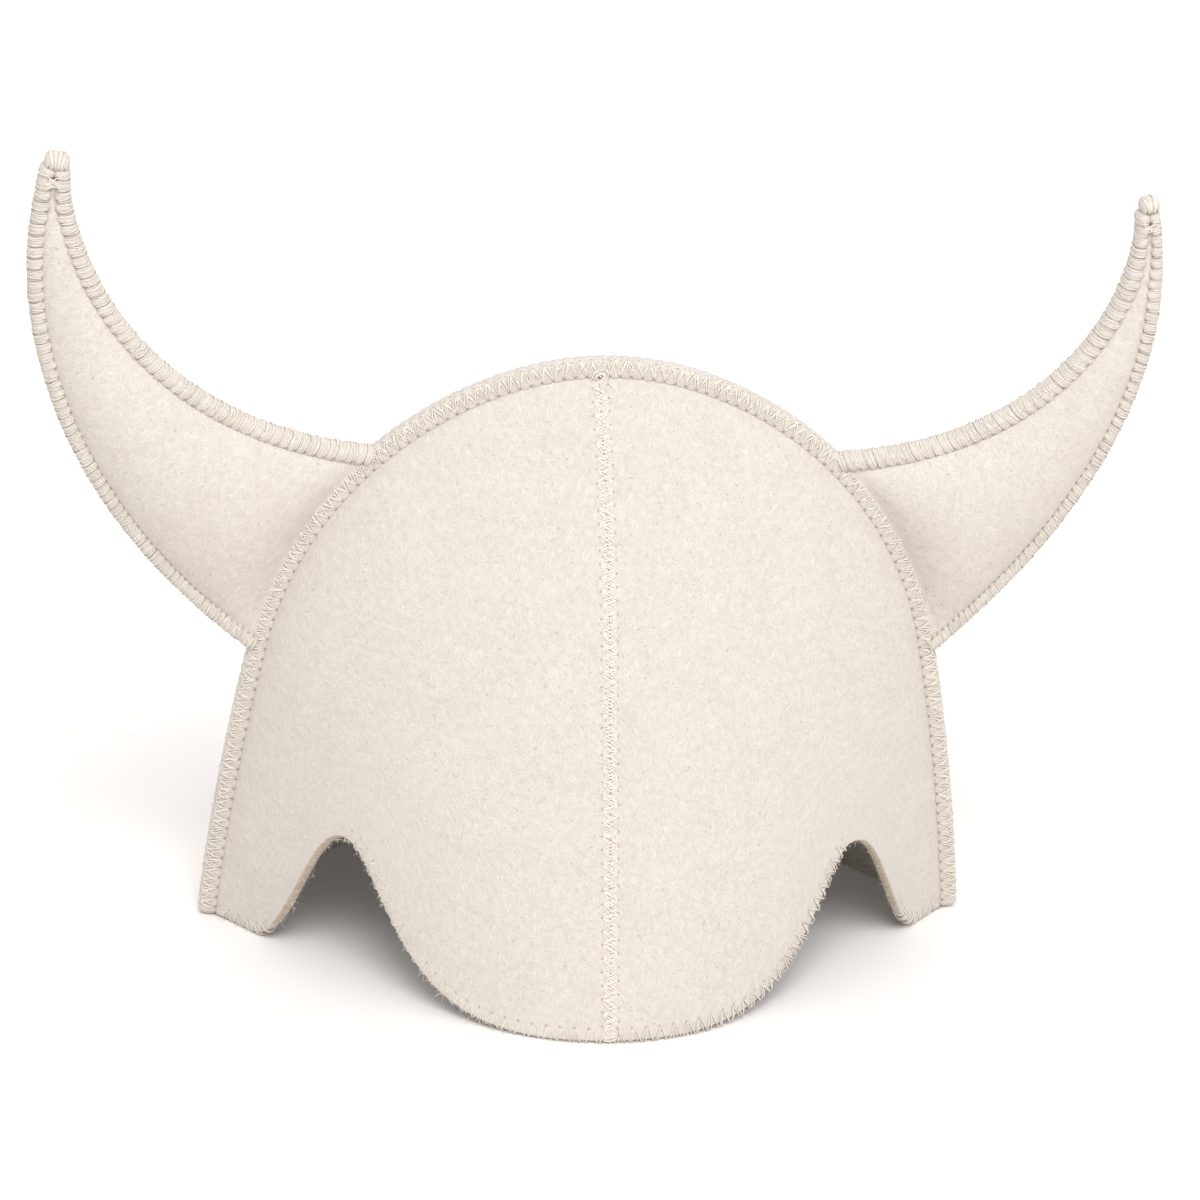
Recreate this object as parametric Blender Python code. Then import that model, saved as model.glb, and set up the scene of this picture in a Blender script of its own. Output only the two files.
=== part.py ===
"""Horned sauna hat of thick wool felt, standing on its brim.

Four quarter panels make the hat: front and back meet in a raised seam that runs as an
arch from side to side, and left and right are butted along a centre seam. Each horn is
two felt pieces sewn edge to edge round a hollow, with its base against the arch. The
front brim has a notch on each side of a wide centre lobe, and the back brim is level.

Metres, +Z up. The front faces -Y, and left and right are as seen from the front.
"""

import math

import bmesh
import bpy
import numpy as np
from mathutils import Matrix, Vector

MM = 0.001

# Felt and seams
FELT_THICKNESS = 3.0 * MM
SEAM_GAP = 0.3 * MM
SEAM_HALF = (SEAM_GAP + FELT_THICKNESS) / 2

# The arch: outer edge of the raised seam between front and back, from the top of the
# crown down to the foot, as arcs that run on from each other
ARCH_HEIGHT = 183.6 * MM
ARCH_ARCS = (
    # radius (mm), turn (degrees)
    (90.0, 19.0),
    (116.0, 58.5),
    (815.0, 7.2),
)
ARCH_SAMPLES = 120
FLANGE_WIDTH = 6.6 * MM
FLANGE_BEND = 1.8 * MM

# Front of the hat: how far the centre seam stands forward, and how full each level is
LOBE_DEPTH = 84.0 * MM
DEPTH_POWER = 0.87
CROWN_FULLNESS = 0.74
FOOT_FULLNESS = 0.44
FOOT_FADE = 40.0 * MM

# Brim: a notch is a bump in the lower edge, placed by its share of the half width.
# Each of its sides has a width, also as such a share, and a power that shapes its slope.
NOTCH_HEIGHT = 43.4 * MM
NOTCH_PLACE = 0.696
NOTCH_LOBE_SIDE = (0.179, 1.52)
NOTCH_FLAP_SIDE = (0.127, 3.2)
FLAT_CUT = 0.3 * MM
NOTCH_REACH = 120.0 * MM
NOTCH_EASE = 1.5
FACES = (
    # name, flip in Y, height of its notches
    ("front", 1.0, NOTCH_HEIGHT),
    ("back", -1.0, 0.0),
)

# Horns: the middle line of each starts inside the arch, and turns from level to upright
HORN_COLUMNS = (
    "start_x", "start_z", "length",
    "heading_start", "heading_end", "heading_bow",
    "base_width", "tip_width", "waist",
)
HORN_ROWS = {
    # lengths and widths in mm, headings in degrees above level
    "left": (79.9, 118.4, 162.3, 22.2, 100.0, -6.0, 76.8, 5.0, 4.4),
    "right": (87.7, 120.3, 143.6, 26.7, 102.4, -9.1, 72.0, 4.2, 9.0),
}
HORN_SEAM = 4.5 * MM
HORN_SEAM_SHARE = 0.42
HORN_PUFF = 0.42
HORN_PUFF_POWER = 1.5
HORN_EASE = 10.0 * MM
HORN_SAMPLES = 200
HORN_OVERRUN = 0.3
BASE_HALVINGS = 30

# Density of the meshes
PANEL_STEPS = 12
NOTCH_CROWDING = 0.11
HORN_STEPS_ALONG = 15
HORN_STEPS_ACROSS = 8
BASE_CROWDING = 1.35
SAME_PLACE = 0.01 * MM
SHARP_ANGLE = math.radians(50)

# How the rim of a point is cut: free, parallel to the arch's plane, level, or upright
FREE, FLAT, LEVEL, CENTRE = range(4)

PANEL_COLOUR = (0.84, 0.77, 0.68, 1.0)
HORN_COLOUR = (0.86, 0.79, 0.70, 1.0)
FELT_ROUGHNESS = 0.92


def clear_scene():
    for old in list(bpy.data.objects):
        bpy.data.objects.remove(old, do_unlink=True)


def felt_material(name, colour):
    material = bpy.data.materials.new(name)
    material.use_nodes = True
    shader = material.node_tree.nodes["Principled BSDF"]
    shader.inputs["Base Color"].default_value = colour
    shader.inputs["Roughness"].default_value = FELT_ROUGHNESS
    shader.inputs["Metallic"].default_value = 0.0
    return material


def arch_curve(inset):
    """Points and outward normals of the arch moved inward by inset, from foot to crown."""
    heading = 0.0
    joint = np.array([0.0, ARCH_HEIGHT])
    points = []
    normals = []
    for radius_mm, turn in ARCH_ARCS:
        radius = radius_mm * MM
        hub = joint - radius * np.array([math.sin(heading), math.cos(heading)])
        angles = heading + np.linspace(0, math.radians(turn), ARCH_SAMPLES)
        outward = np.stack([np.sin(angles), np.cos(angles)], 1)
        points.append(hub + (radius - inset) * outward)
        normals.append(outward)
        heading = angles[-1]
        joint = hub + radius * outward[-1]
    points = np.concatenate(points)[::-1]
    normals = np.concatenate(normals)[::-1]
    foot_x = np.interp(0.0, points[:, 1], points[:, 0])
    above = points[:, 1] > 0
    points = np.vstack([[foot_x, 0.0], points[above]])
    normals = np.vstack([[1.0, 0.0], normals[above]])
    return points, normals


def arch_at(share, inset):
    """Half width, height and outward normal at a share of the arch, 0 at the foot."""
    points, normals = arch_curve(inset)
    steps = np.linalg.norm(np.diff(points, axis=0), axis=1)
    length = np.concatenate([[0.0], np.cumsum(steps)])
    return [np.interp(share * length[-1], length, line) for line in (*points.T, *normals.T)]


def brim_height(share, notch_height):
    """Height of the lower edge at a share of the half width: a bump at the notch."""
    aside = share - NOTCH_PLACE
    lobe_width, lobe_power = NOTCH_LOBE_SIDE
    flap_width, flap_power = NOTCH_FLAP_SIDE
    lobe_fall = (np.clip(-aside, 0, None) / lobe_width) ** lobe_power
    flap_fall = (np.clip(aside, 0, None) / flap_width) ** flap_power
    return np.clip(notch_height * np.exp(-lobe_fall - flap_fall) - FLAT_CUT, 0, None)


def panel_point(side_share, level, notch_height):
    """A point of the front right panel, in the middle of the felt.

    side_share runs from 0 at the centre seam to 1 at the arch, and level from 0 at the
    brim to 1 at the crown. Each level is a lens: it stands forward by the depth of the
    centre seam there times (1 - side_share squared) to a power, its fullness.
    """
    height = arch_at(level, FLANGE_WIDTH)[1]
    crown = arch_at(1.0, FLANGE_WIDTH)[1]
    notch_share = np.clip(1 - height / NOTCH_REACH, 0, None) ** NOTCH_EASE
    height = height + brim_height(side_share, notch_height) * notch_share
    depth = LOBE_DEPTH * np.clip(1 - height / crown, 0, None) ** DEPTH_POWER
    fullness = CROWN_FULLNESS + FOOT_FULLNESS * np.exp(-height / FOOT_FADE)
    forward = depth * np.clip(1 - side_share**2, 0, None) ** fullness
    outline = arch_curve(FLANGE_WIDTH)[0]
    half_width = np.interp(height, outline[:, 1], outline[:, 0])
    across = SEAM_GAP / 2 + half_width * side_share
    return np.stack([across, -SEAM_HALF - forward, height], -1)


def add_grid(mesh, points, cuts):
    """Adds a grid of points, shaped (rows, columns, 3), with a face between each four."""
    cut_layer = mesh.verts.layers.int["cut"]
    rows, columns, _ = points.shape
    verts = [mesh.verts.new(point) for point in points.reshape(-1, 3)]
    for vert, cut in zip(verts, cuts.reshape(-1)):
        vert[cut_layer] = int(cut)
    for row in range(rows - 1):
        for column in range(columns - 1):
            first = row * columns + column
            corners = (first, first + 1, first + columns + 1, first + columns)
            mesh.faces.new([verts[corner] for corner in corners])


def new_sheet():
    mesh = bmesh.new()
    mesh.verts.layers.int.new("cut")
    mesh.verts.layers.float_vector.new("offset")
    return mesh


def face_toward(mesh, direction):
    """Turns the faces of an open mesh so that, taken together, they look that way."""
    bmesh.ops.recalc_face_normals(mesh, faces=mesh.faces)
    mesh.normal_update()
    total = sum((face.normal * face.calc_area() for face in mesh.faces), Vector())
    if total.dot(direction) < 0:
        bmesh.ops.reverse_faces(mesh, faces=mesh.faces)
        mesh.normal_update()


def thicken(mesh):
    """Gives an open sheet the felt's thickness, half to each side, as one closed solid."""
    cut_layer = mesh.verts.layers.int["cut"]
    offset_layer = mesh.verts.layers.float_vector["offset"]
    for vert in mesh.verts:
        offset = vert.normal * vert.calc_shell_factor()
        if vert[cut_layer] == FLAT:
            offset = Vector((0.0, -1.0, 0.0))
        elif vert[cut_layer] == LEVEL:
            offset = Vector((offset.x, offset.y, 0.0)).normalized()
        elif vert[cut_layer] == CENTRE:
            offset = Vector((0.0, offset.y, offset.z))
        vert[offset_layer] = offset * FELT_THICKNESS / 2
    grown = bmesh.ops.extrude_face_region(mesh, geom=list(mesh.faces))
    outer = {item for item in grown["geom"] if isinstance(item, bmesh.types.BMVert)}
    for vert in mesh.verts:
        side = 1 if vert in outer else -1
        vert.co += side * vert[offset_layer]
    bmesh.ops.recalc_face_normals(mesh, faces=mesh.faces)


def dome_patches():
    """Three square patches over the eighth of a sphere round one corner, as directions.

    They are the faces of a cube cage pushed out to the sphere, so none has a pole.
    """
    steps = np.tan(np.linspace(0, math.pi / 4, PANEL_STEPS + 1))
    first, second = np.meshgrid(steps, steps, indexing="ij")
    one = np.ones_like(first)
    for cage in ((first, one, second), (one, second, first), (second, first, one)):
        direction = np.stack(cage, -1)
        yield direction / np.linalg.norm(direction, axis=-1, keepdims=True)


def edge_cuts(side_share, level):
    """How the rim is cut: level at the brim, upright at the centre seam."""
    at_seam = np.where(side_share < 1e-6, CENTRE, FREE)
    return np.where(level < 1e-6, LEVEL, at_seam)


def quarter_panel(notch_height):
    """The front right quarter of the hat as one closed solid of felt."""
    mesh = new_sheet()
    for patch in dome_patches():
        around = np.arctan2(patch[..., 0], patch[..., 1])
        side_share = np.sin(around + NOTCH_CROWDING * np.sin(4 * around))
        level = np.arcsin(np.clip(patch[..., 2], 0, 1)) / (math.pi / 2)
        points = panel_point(side_share, level, notch_height)
        add_grid(mesh, points, edge_cuts(side_share, level))
    stations = np.linspace(0, 1, 2 * PANEL_STEPS + 1)
    half_width, height, normal_x, normal_z = arch_at(stations, FLANGE_WIDTH)
    crown_side = np.where(stations == 1, 0.0, 1.0)
    reaches = (0.0, FLANGE_BEND, FLANGE_WIDTH)
    points = [
        np.stack([
            SEAM_GAP / 2 + half_width + reach * normal_x,
            np.full_like(stations, -SEAM_HALF),
            height + reach * normal_z,
        ], -1)
        for reach in reaches
    ]
    cuts = [edge_cuts(crown_side, stations)]
    cuts += [np.full(len(stations), FLAT)] * (len(reaches) - 1)
    add_grid(mesh, np.stack(points), np.stack(cuts))
    bmesh.ops.remove_doubles(mesh, verts=mesh.verts, dist=SAME_PLACE)
    face_toward(mesh, Vector((1.0, -1.0, 1.0)))
    thicken(mesh)
    return mesh


def horn_line(row):
    """The middle line of a horn: shares of its length, points, headings and widths."""
    share = np.linspace(-HORN_OVERRUN, 1, HORN_SAMPLES)
    bow = 4 * share * (1 - share)
    turn = row["heading_end"] - row["heading_start"]
    heading = np.radians(row["heading_start"] + turn * share + row["heading_bow"] * bow)
    step = (share[1] - share[0]) * row["length"] * MM
    middle = (heading[1:] + heading[:-1]) / 2
    x = np.concatenate([[0.0], np.cumsum(np.cos(middle) * step)])
    z = np.concatenate([[0.0], np.cumsum(np.sin(middle) * step)])
    x += row["start_x"] * MM - np.interp(0, share, x)
    z += row["start_z"] * MM - np.interp(0, share, z)
    taper = row["tip_width"] - row["base_width"]
    width = (row["base_width"] + taper * share - row["waist"] * bow) * MM
    return share, x, z, heading, width


def horn_place(row, share, face, edge):
    """Place on a horn's flat outline, with the width of the horn and of its sewn edge.

    face runs from -1 to 1 between the two sewn edges, and edge is -1 or 1 at the outer
    side of the lower or upper one.
    """
    shares, *lines = horn_line(row)
    x, z, heading, width = [np.interp(share, shares, line) for line in lines]
    seam = np.minimum(HORN_SEAM, HORN_SEAM_SHARE * width)
    reach = face * (width / 2 - seam) + edge * seam
    return x - reach * np.sin(heading), z + reach * np.cos(heading), width, seam


def horn_base(row, face, edge):
    """Share of the horn's length at which each line along it leaves the arch."""
    outline, _ = arch_curve(-SEAM_GAP)
    hub_z = row["start_z"] * MM / 2
    edge_angle = np.arctan2(outline[:, 0], outline[:, 1] - hub_z)[::-1]
    edge_reach = np.hypot(outline[:, 0], outline[:, 1] - hub_z)[::-1]
    low = np.full_like(face, -HORN_OVERRUN)
    high = np.full_like(face, 1 - HORN_OVERRUN)
    for _ in range(BASE_HALVINGS):
        share = (low + high) / 2
        x, z, _, _ = horn_place(row, share, face, edge)
        angle = np.arctan2(x, z - hub_z)
        inside = np.hypot(x, z - hub_z) < np.interp(angle, edge_angle, edge_reach)
        low = np.where(inside, share, low)
        high = np.where(inside, high, share)
    return high


def horn_panel(side):
    """The front piece of a horn on the +X side, as one closed solid of felt.

    Across the horn it is a flat sewn edge, a face that puffs out as a power of a
    cosine, and a flat sewn edge. The puff starts from nothing at the arch.
    """
    row = dict(zip(HORN_COLUMNS, HORN_ROWS[side]))
    lean = np.linspace(-math.pi / 2, math.pi / 2, HORN_STEPS_ACROSS + 1)
    face = np.concatenate([[-1.0], np.sin(lean), [1.0]])
    dome = np.concatenate([[0.0], np.clip(np.cos(lean), 0, None), [0.0]])
    edge = np.zeros_like(face)
    edge[[0, -1]] = (-1.0, 1.0)
    along = np.linspace(0, 1, HORN_STEPS_ALONG + 1)[:, None] ** BASE_CROWDING
    base = horn_base(row, face, edge)
    share = base + (1 - base) * along
    x, z, width, seam = horn_place(row, share, face, edge)
    from_base = along * (1 - base) * row["length"] * MM
    ease = 1 - np.exp(-from_base / HORN_EASE)
    puff = HORN_PUFF * (width / 2 - seam) * ease * dome**HORN_PUFF_POWER
    cuts = np.full(share.shape, FREE)
    cuts[:, [0, -1]] = FLAT
    cuts[[0, -1], :] = FLAT
    mesh = new_sheet()
    add_grid(mesh, np.stack([x, -SEAM_HALF - puff, z], -1), cuts)
    face_toward(mesh, Vector((0.0, -1.0, 0.0)))
    thicken(mesh)
    return mesh


def place_piece(name, mesh, flip, parent, material):
    """Makes an object of a mesh, turned over in X or Y by flip, under the parent."""
    data = bpy.data.meshes.new(name)
    bmesh.ops.transform(mesh, matrix=Matrix.Diagonal((*flip, 1.0, 1.0)), verts=mesh.verts)
    bmesh.ops.recalc_face_normals(mesh, faces=mesh.faces)
    mesh.to_mesh(data)
    mesh.free()
    data.materials.append(material)
    data.shade_smooth()
    data.set_sharp_from_angle(angle=SHARP_ANGLE)
    piece = bpy.data.objects.new(name, data)
    bpy.context.scene.collection.objects.link(piece)
    piece.parent = parent
    return piece


def centre_on_origin(hat, pieces):
    """Moves the hat so that the origin is midway between the horns' outer reaches."""
    reach = [vert.co.x for piece in pieces for vert in piece.data.vertices]
    hat.location.x = -(min(reach) + max(reach)) / 2


def main():
    clear_scene()
    hat = bpy.data.objects.new("sauna_hat", None)
    bpy.context.scene.collection.objects.link(hat)
    panel_felt = felt_material("panel felt", PANEL_COLOUR)
    horn_felt = felt_material("horn felt", HORN_COLOUR)
    pieces = []
    for face, flip_y, notch_height in FACES:
        for side, flip_x in (("left", -1.0), ("right", 1.0)):
            flip = (flip_x, flip_y)
            panel = f"{face}_{side}_panel"
            horn = f"{side}_horn_{face}"
            quarter = quarter_panel(notch_height)
            pieces.append(place_piece(panel, quarter, flip, hat, panel_felt))
            pieces.append(place_piece(horn, horn_panel(side), flip, hat, horn_felt))
    centre_on_origin(hat, pieces)


main()
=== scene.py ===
"""Looks of a horned sauna hat of thick wool felt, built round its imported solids.

Four felt panels, a raised seam of two felt lips over the crown, two hollow horns with
beaded sewn edges, and the threads that join them. Metres, +Z up, front towards -Y.
"""

import math

import bpy
import numpy as np
from mathutils import Matrix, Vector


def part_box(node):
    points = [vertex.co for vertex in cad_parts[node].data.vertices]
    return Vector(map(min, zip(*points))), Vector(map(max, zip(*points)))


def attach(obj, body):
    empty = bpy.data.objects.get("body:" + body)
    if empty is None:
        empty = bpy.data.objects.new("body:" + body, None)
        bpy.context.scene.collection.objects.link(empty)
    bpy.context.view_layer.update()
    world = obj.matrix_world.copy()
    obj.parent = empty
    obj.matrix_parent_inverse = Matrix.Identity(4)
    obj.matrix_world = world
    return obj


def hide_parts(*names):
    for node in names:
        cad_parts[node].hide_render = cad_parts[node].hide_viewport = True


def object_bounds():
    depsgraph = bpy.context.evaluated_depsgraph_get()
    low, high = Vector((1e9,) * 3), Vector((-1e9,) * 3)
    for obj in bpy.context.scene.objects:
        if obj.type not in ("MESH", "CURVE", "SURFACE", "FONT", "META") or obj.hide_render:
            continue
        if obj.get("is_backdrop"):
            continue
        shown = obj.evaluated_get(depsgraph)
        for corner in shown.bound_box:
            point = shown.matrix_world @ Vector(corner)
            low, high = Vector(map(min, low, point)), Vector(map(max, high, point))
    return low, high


bl_info = {
    "name": "Felt sauna hat",
    "version": (1, 0, 0),
    "blender": (4, 5, 0),
    "location": "3D View > Sidebar > Hat",
    "description": "Builds a horned sauna hat of sewn wool felt round its packed solids",
    "category": "Object",
}

MM = 0.001
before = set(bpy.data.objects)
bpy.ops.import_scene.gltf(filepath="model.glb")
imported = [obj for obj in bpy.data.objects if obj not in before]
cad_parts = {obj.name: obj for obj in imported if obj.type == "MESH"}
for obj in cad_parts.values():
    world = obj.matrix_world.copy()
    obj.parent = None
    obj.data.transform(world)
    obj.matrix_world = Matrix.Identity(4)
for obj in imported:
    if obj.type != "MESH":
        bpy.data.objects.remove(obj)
SOLIDS_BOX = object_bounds()

# The solids' middle in X, halfway between the outer sides of the front panels
HAT_X = (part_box("front_left_panel")[0].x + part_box("front_right_panel")[1].x) / 2

# Seam geometry, as in the solids
FELT_THICKNESS = 3.0 * MM
SEAM_GAP = 0.3 * MM
SEAM_HALF = (SEAM_GAP + FELT_THICKNESS) / 2
FLANGE_WIDTH = 6.6 * MM

# The arch: outer edge of the raised seam, from the crown down to the foot
ARCH_HEIGHT = 183.6 * MM
ARCH_ARCS = (
    # radius (mm), turn (degrees)
    (90.0, 19.0),
    (116.0, 58.5),
    (815.0, 7.2),
)
ARCH_SAMPLES = 120

# Front and back: how far the centre seam stands forward, and how full each level is
LOBE_DEPTH = 84.0 * MM
DEPTH_POWER = 0.87
CROWN_FULLNESS = 0.74
FOOT_FULLNESS = 0.44
FOOT_FADE = 40.0 * MM

# Brim notches: their place and each side's width, as shares of the half width, and the
# power by which that side falls off
NOTCH_HEIGHT = 43.4 * MM
NOTCH_PLACE = 0.696
NOTCH_LOBE_SIDE = (0.179, 1.52)
NOTCH_FLAP_SIDE = (0.127, 3.2)
FLAT_CUT = 0.3 * MM
# How far up the panels the notches bend the felt's rows, and the power by which they ease
NOTCH_REACH = 120.0 * MM
NOTCH_EASE = 1.5
# The sewn felt hangs a little unlike the solids, by side: how much lower a notch is, how
# much wider its flap's side, and how far the slanted cut of that side spreads
NOTCH_SAG = {-1.0: 0.0, 1.0: 2.3 * MM}
NOTCH_FLARE = {-1.0: 1.0, 1.0: 1.09}
CUT_SLANT = {-1.0: 1.1 * MM, 1.0: 0.3 * MM}
CUT_SLANT_REACH = 3.0 * MM

# Horns: the middle line, as a start, a length and headings, and the widths along it
HORN_COLUMNS = (
    "start_x", "start_z", "length",
    "heading_start", "heading_end", "heading_bow",
    "base_width", "tip_width", "waist",
)
HORN_ROWS = {
    # lengths and widths in mm, headings in degrees above level
    "left": (79.9, 118.4, 162.3, 22.2, 100.0, -6.0, 76.8, 5.0, 4.4),
    "right": (87.7, 120.3, 143.6, 26.7, 102.4, -9.1, 72.0, 4.2, 9.0),
}
# A sewn edge's width, and its largest share of the horn's
HORN_SEAM = 4.5 * MM
HORN_SEAM_SHARE = 0.42
HORN_PUFF = 0.42
HORN_PUFF_POWER = 1.5
HORN_EASE = 10.0 * MM
# The middle line is drawn on below the arch by this share, so that a base can be found
HORN_OVERRUN = 0.3
HORN_SAMPLES = 300
BASE_HALVINGS = 30

SIDES = (("left", -1.0), ("right", 1.0))
FACES = (("front", 1.0), ("back", -1.0))


# Shared curves

# Wavelengths of the sines in smooth_noise, as shares of its own
NOISE_WAVES = (0.53, 0.81, 1.0, 1.47, 2.3)


def smooth_noise(along, seed, wave):
    """A smooth wandering between -1 and 1: the mean of five sines of unlike wavelengths
    near wave, with phases drawn from the seed."""
    phases = np.random.default_rng(seed).uniform(0, 2 * math.pi, len(NOISE_WAVES))
    lengths = wave * np.array(NOISE_WAVES)
    waves = np.sin(2 * math.pi * np.asarray(along)[..., None] / lengths + phases)
    return waves.mean(-1)


def path_length(points):
    """Running length along a line of points, from 0."""
    steps = np.linalg.norm(np.diff(points, axis=0), axis=1)
    return np.concatenate([[0.0], np.cumsum(steps)])


def vectors_at(along, length, vectors):
    """A line's vectors, read at some lengths along it."""
    return np.stack([np.interp(along, length, axis) for axis in vectors.T], -1)


def unit(vectors):
    """Vectors over their lengths."""
    return vectors / np.maximum(np.linalg.norm(vectors, axis=-1, keepdims=True), 1e-12)


def arch_curve(inset):
    """Points and outward normals of the arch moved inward by inset, from foot to crown."""
    heading = 0.0
    joint = np.array([0.0, ARCH_HEIGHT])
    points = []
    normals = []
    for radius_mm, turn in ARCH_ARCS:
        radius = radius_mm * MM
        hub = joint - radius * np.array([math.sin(heading), math.cos(heading)])
        angles = heading + np.linspace(0, math.radians(turn), ARCH_SAMPLES)
        outward = np.stack([np.sin(angles), np.cos(angles)], 1)
        points.append(hub + (radius - inset) * outward)
        normals.append(outward)
        heading = angles[-1]
        joint = hub + radius * outward[-1]
    points = np.concatenate(points)[::-1]
    normals = np.concatenate(normals)[::-1]
    foot_x = np.interp(0.0, points[:, 1], points[:, 0])
    above = points[:, 1] > 0
    points = np.vstack([[foot_x, 0.0], points[above]])
    normals = np.vstack([[1.0, 0.0], normals[above]])
    return points, normals


PANEL_OUTLINE = arch_curve(FLANGE_WIDTH)[0]
CROWN = PANEL_OUTLINE[-1, 1]


def half_width(height):
    """From the middle to the panels' outline at a height."""
    return np.interp(height, PANEL_OUTLINE[:, 1], PANEL_OUTLINE[:, 0])


def notch_height(face, side):
    """Height of a face's brim notches: the front has them, and the back brim is level."""
    return NOTCH_HEIGHT - NOTCH_SAG[side] if face > 0 else 0.0


def brim_height(share, face, side):
    """Height of the lower edge at a share of the half width: a bump at the notch."""
    aside = np.asarray(share) - NOTCH_PLACE
    lobe_width, lobe_power = NOTCH_LOBE_SIDE
    flap_width, flap_power = NOTCH_FLAP_SIDE
    lobe_fall = (np.clip(-aside, 0, None) / lobe_width) ** lobe_power
    flap_fall = (np.clip(aside, 0, None) / (flap_width * NOTCH_FLARE[side])) ** flap_power
    bump = notch_height(face, side) * np.exp(-lobe_fall - flap_fall)
    return np.clip(bump - FLAT_CUT, 0, None)


def forward(across, height):
    """How far the middle of the felt stands before the arch's plane: the centre seam's
    depth at that height, times (1 - the squared share of the half width) to a power."""
    depth = LOBE_DEPTH * np.clip(1 - height / CROWN, 0, None) ** DEPTH_POWER
    fullness = CROWN_FULLNESS + FOOT_FULLNESS * np.exp(-height / FOOT_FADE)
    share = np.abs(across) / np.maximum(half_width(height), 1e-5)
    return SEAM_HALF + depth * np.clip(1 - share**2, 1e-6, None) ** fullness


def panel_frame(across, height):
    """Points in the middle of the front felt, and outward unit normals there, both as
    (..., 3) arrays: the normal is the slope of forward in X and Z, turned to -Y."""
    step = 0.05 * MM
    across, height = np.broadcast_arrays(across, height)
    point = np.stack([across, -forward(across, height), height], -1)
    slope_x = (forward(across + step, height) - forward(across - step, height)) / (2 * step)
    low = np.clip(height - step, 0, None)
    slope_z = (forward(across, height + step) - forward(across, low)) / (height + step - low)
    normal = unit(np.stack([-slope_x, -np.ones_like(slope_x), -slope_z], -1))
    return point, normal


def rounding(distance, radius, power=2.4):
    """Share of the full thickness at a distance from an edge: a superellipse's quarter."""
    left = np.clip(1 - distance / radius, 0, 1)
    return (1 - left**power) ** (1 / power)


# Meshes


def grid_quads(index, wrap=False):
    """Quads between neighbouring entries of a 2-D array of vertex numbers."""
    if wrap:
        index = np.concatenate([index, index[:, :1]], 1)
    corners = (index[:-1, :-1], index[:-1, 1:], index[1:, 1:], index[1:, :-1])
    return np.stack(corners, -1).reshape(-1, 4)


def closed_sheet(outer, inner):
    """One closed mesh of two grids whose borders meet: points, quads, and for each point
    the number of its grid place. The inner grid's border uses the outer one's points."""
    rows, columns, _ = outer.shape
    place = np.arange(rows * columns).reshape(rows, columns)
    under = place + rows * columns
    under[[0, -1], :] = place[[0, -1], :]
    under[:, [0, -1]] = place[:, [0, -1]]
    points = np.concatenate([outer.reshape(-1, 3), inner.reshape(-1, 3)])
    quads = np.concatenate([grid_quads(place), grid_quads(under)[:, ::-1]])
    used, quads = np.unique(quads, return_inverse=True)
    return points[used], quads.reshape(-1, 4), used % (rows * columns)


def signed_volume(points, faces):
    """Volume within faces of one size, positive when they point outward: the sum of the
    pyramids that stand on their triangles and meet at the origin."""
    corners = points[faces]
    fan = zip(range(1, faces.shape[1] - 1), range(2, faces.shape[1]))
    return sum(
        np.einsum("ij,ij->", corners[:, 0], np.cross(corners[:, i], corners[:, j]))
        for i, j in fan
    ) / 6


def make_piece(name, points, faces, material, flip=(1.0, 1.0), maps=None):
    """An object of a closed mesh, turned over in X or Y by flip, shifted onto the
    solids, with its faces outward and its maps, one (u, v) for each point."""
    points = points * np.array([flip[0], flip[1], 1.0])
    points = points + np.array([HAT_X, 0.0, 0.0])
    volume = sum(signed_volume(points, group) for group in faces)
    order = slice(None, None, -1 if volume < 0 else 1)
    corners = [face for group in faces for face in group[:, order].tolist()]
    data = bpy.data.meshes.new(name)
    data.from_pydata(points.tolist(), [], corners)
    corner_points = np.concatenate([np.ravel(group[:, order]) for group in faces])
    for map_name, values in (maps or {}).items():
        layer = data.uv_layers.new(name=map_name)
        layer.data.foreach_set("uv", values[corner_points].astype(np.float32).ravel())
    data.materials.append(material)
    data.shade_smooth()
    data.update()
    piece = bpy.data.objects.new(name, data)
    bpy.context.scene.collection.objects.link(piece)
    return piece


def fit_out(piece, nodes=()):
    """Rides the piece on the hat's one body and the solids it replaces."""
    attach(piece, "root")
    if nodes:
        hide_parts(*nodes)


# A thread's radius at its ends, as a share of that at its middle, and how late it thins
THREAD_END = 0.45
TAPER_POWER = 6
# Each thread's map starts this much further on than the last one's, so that twists differ
THREAD_SHIFT = 7.31 * MM


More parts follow.
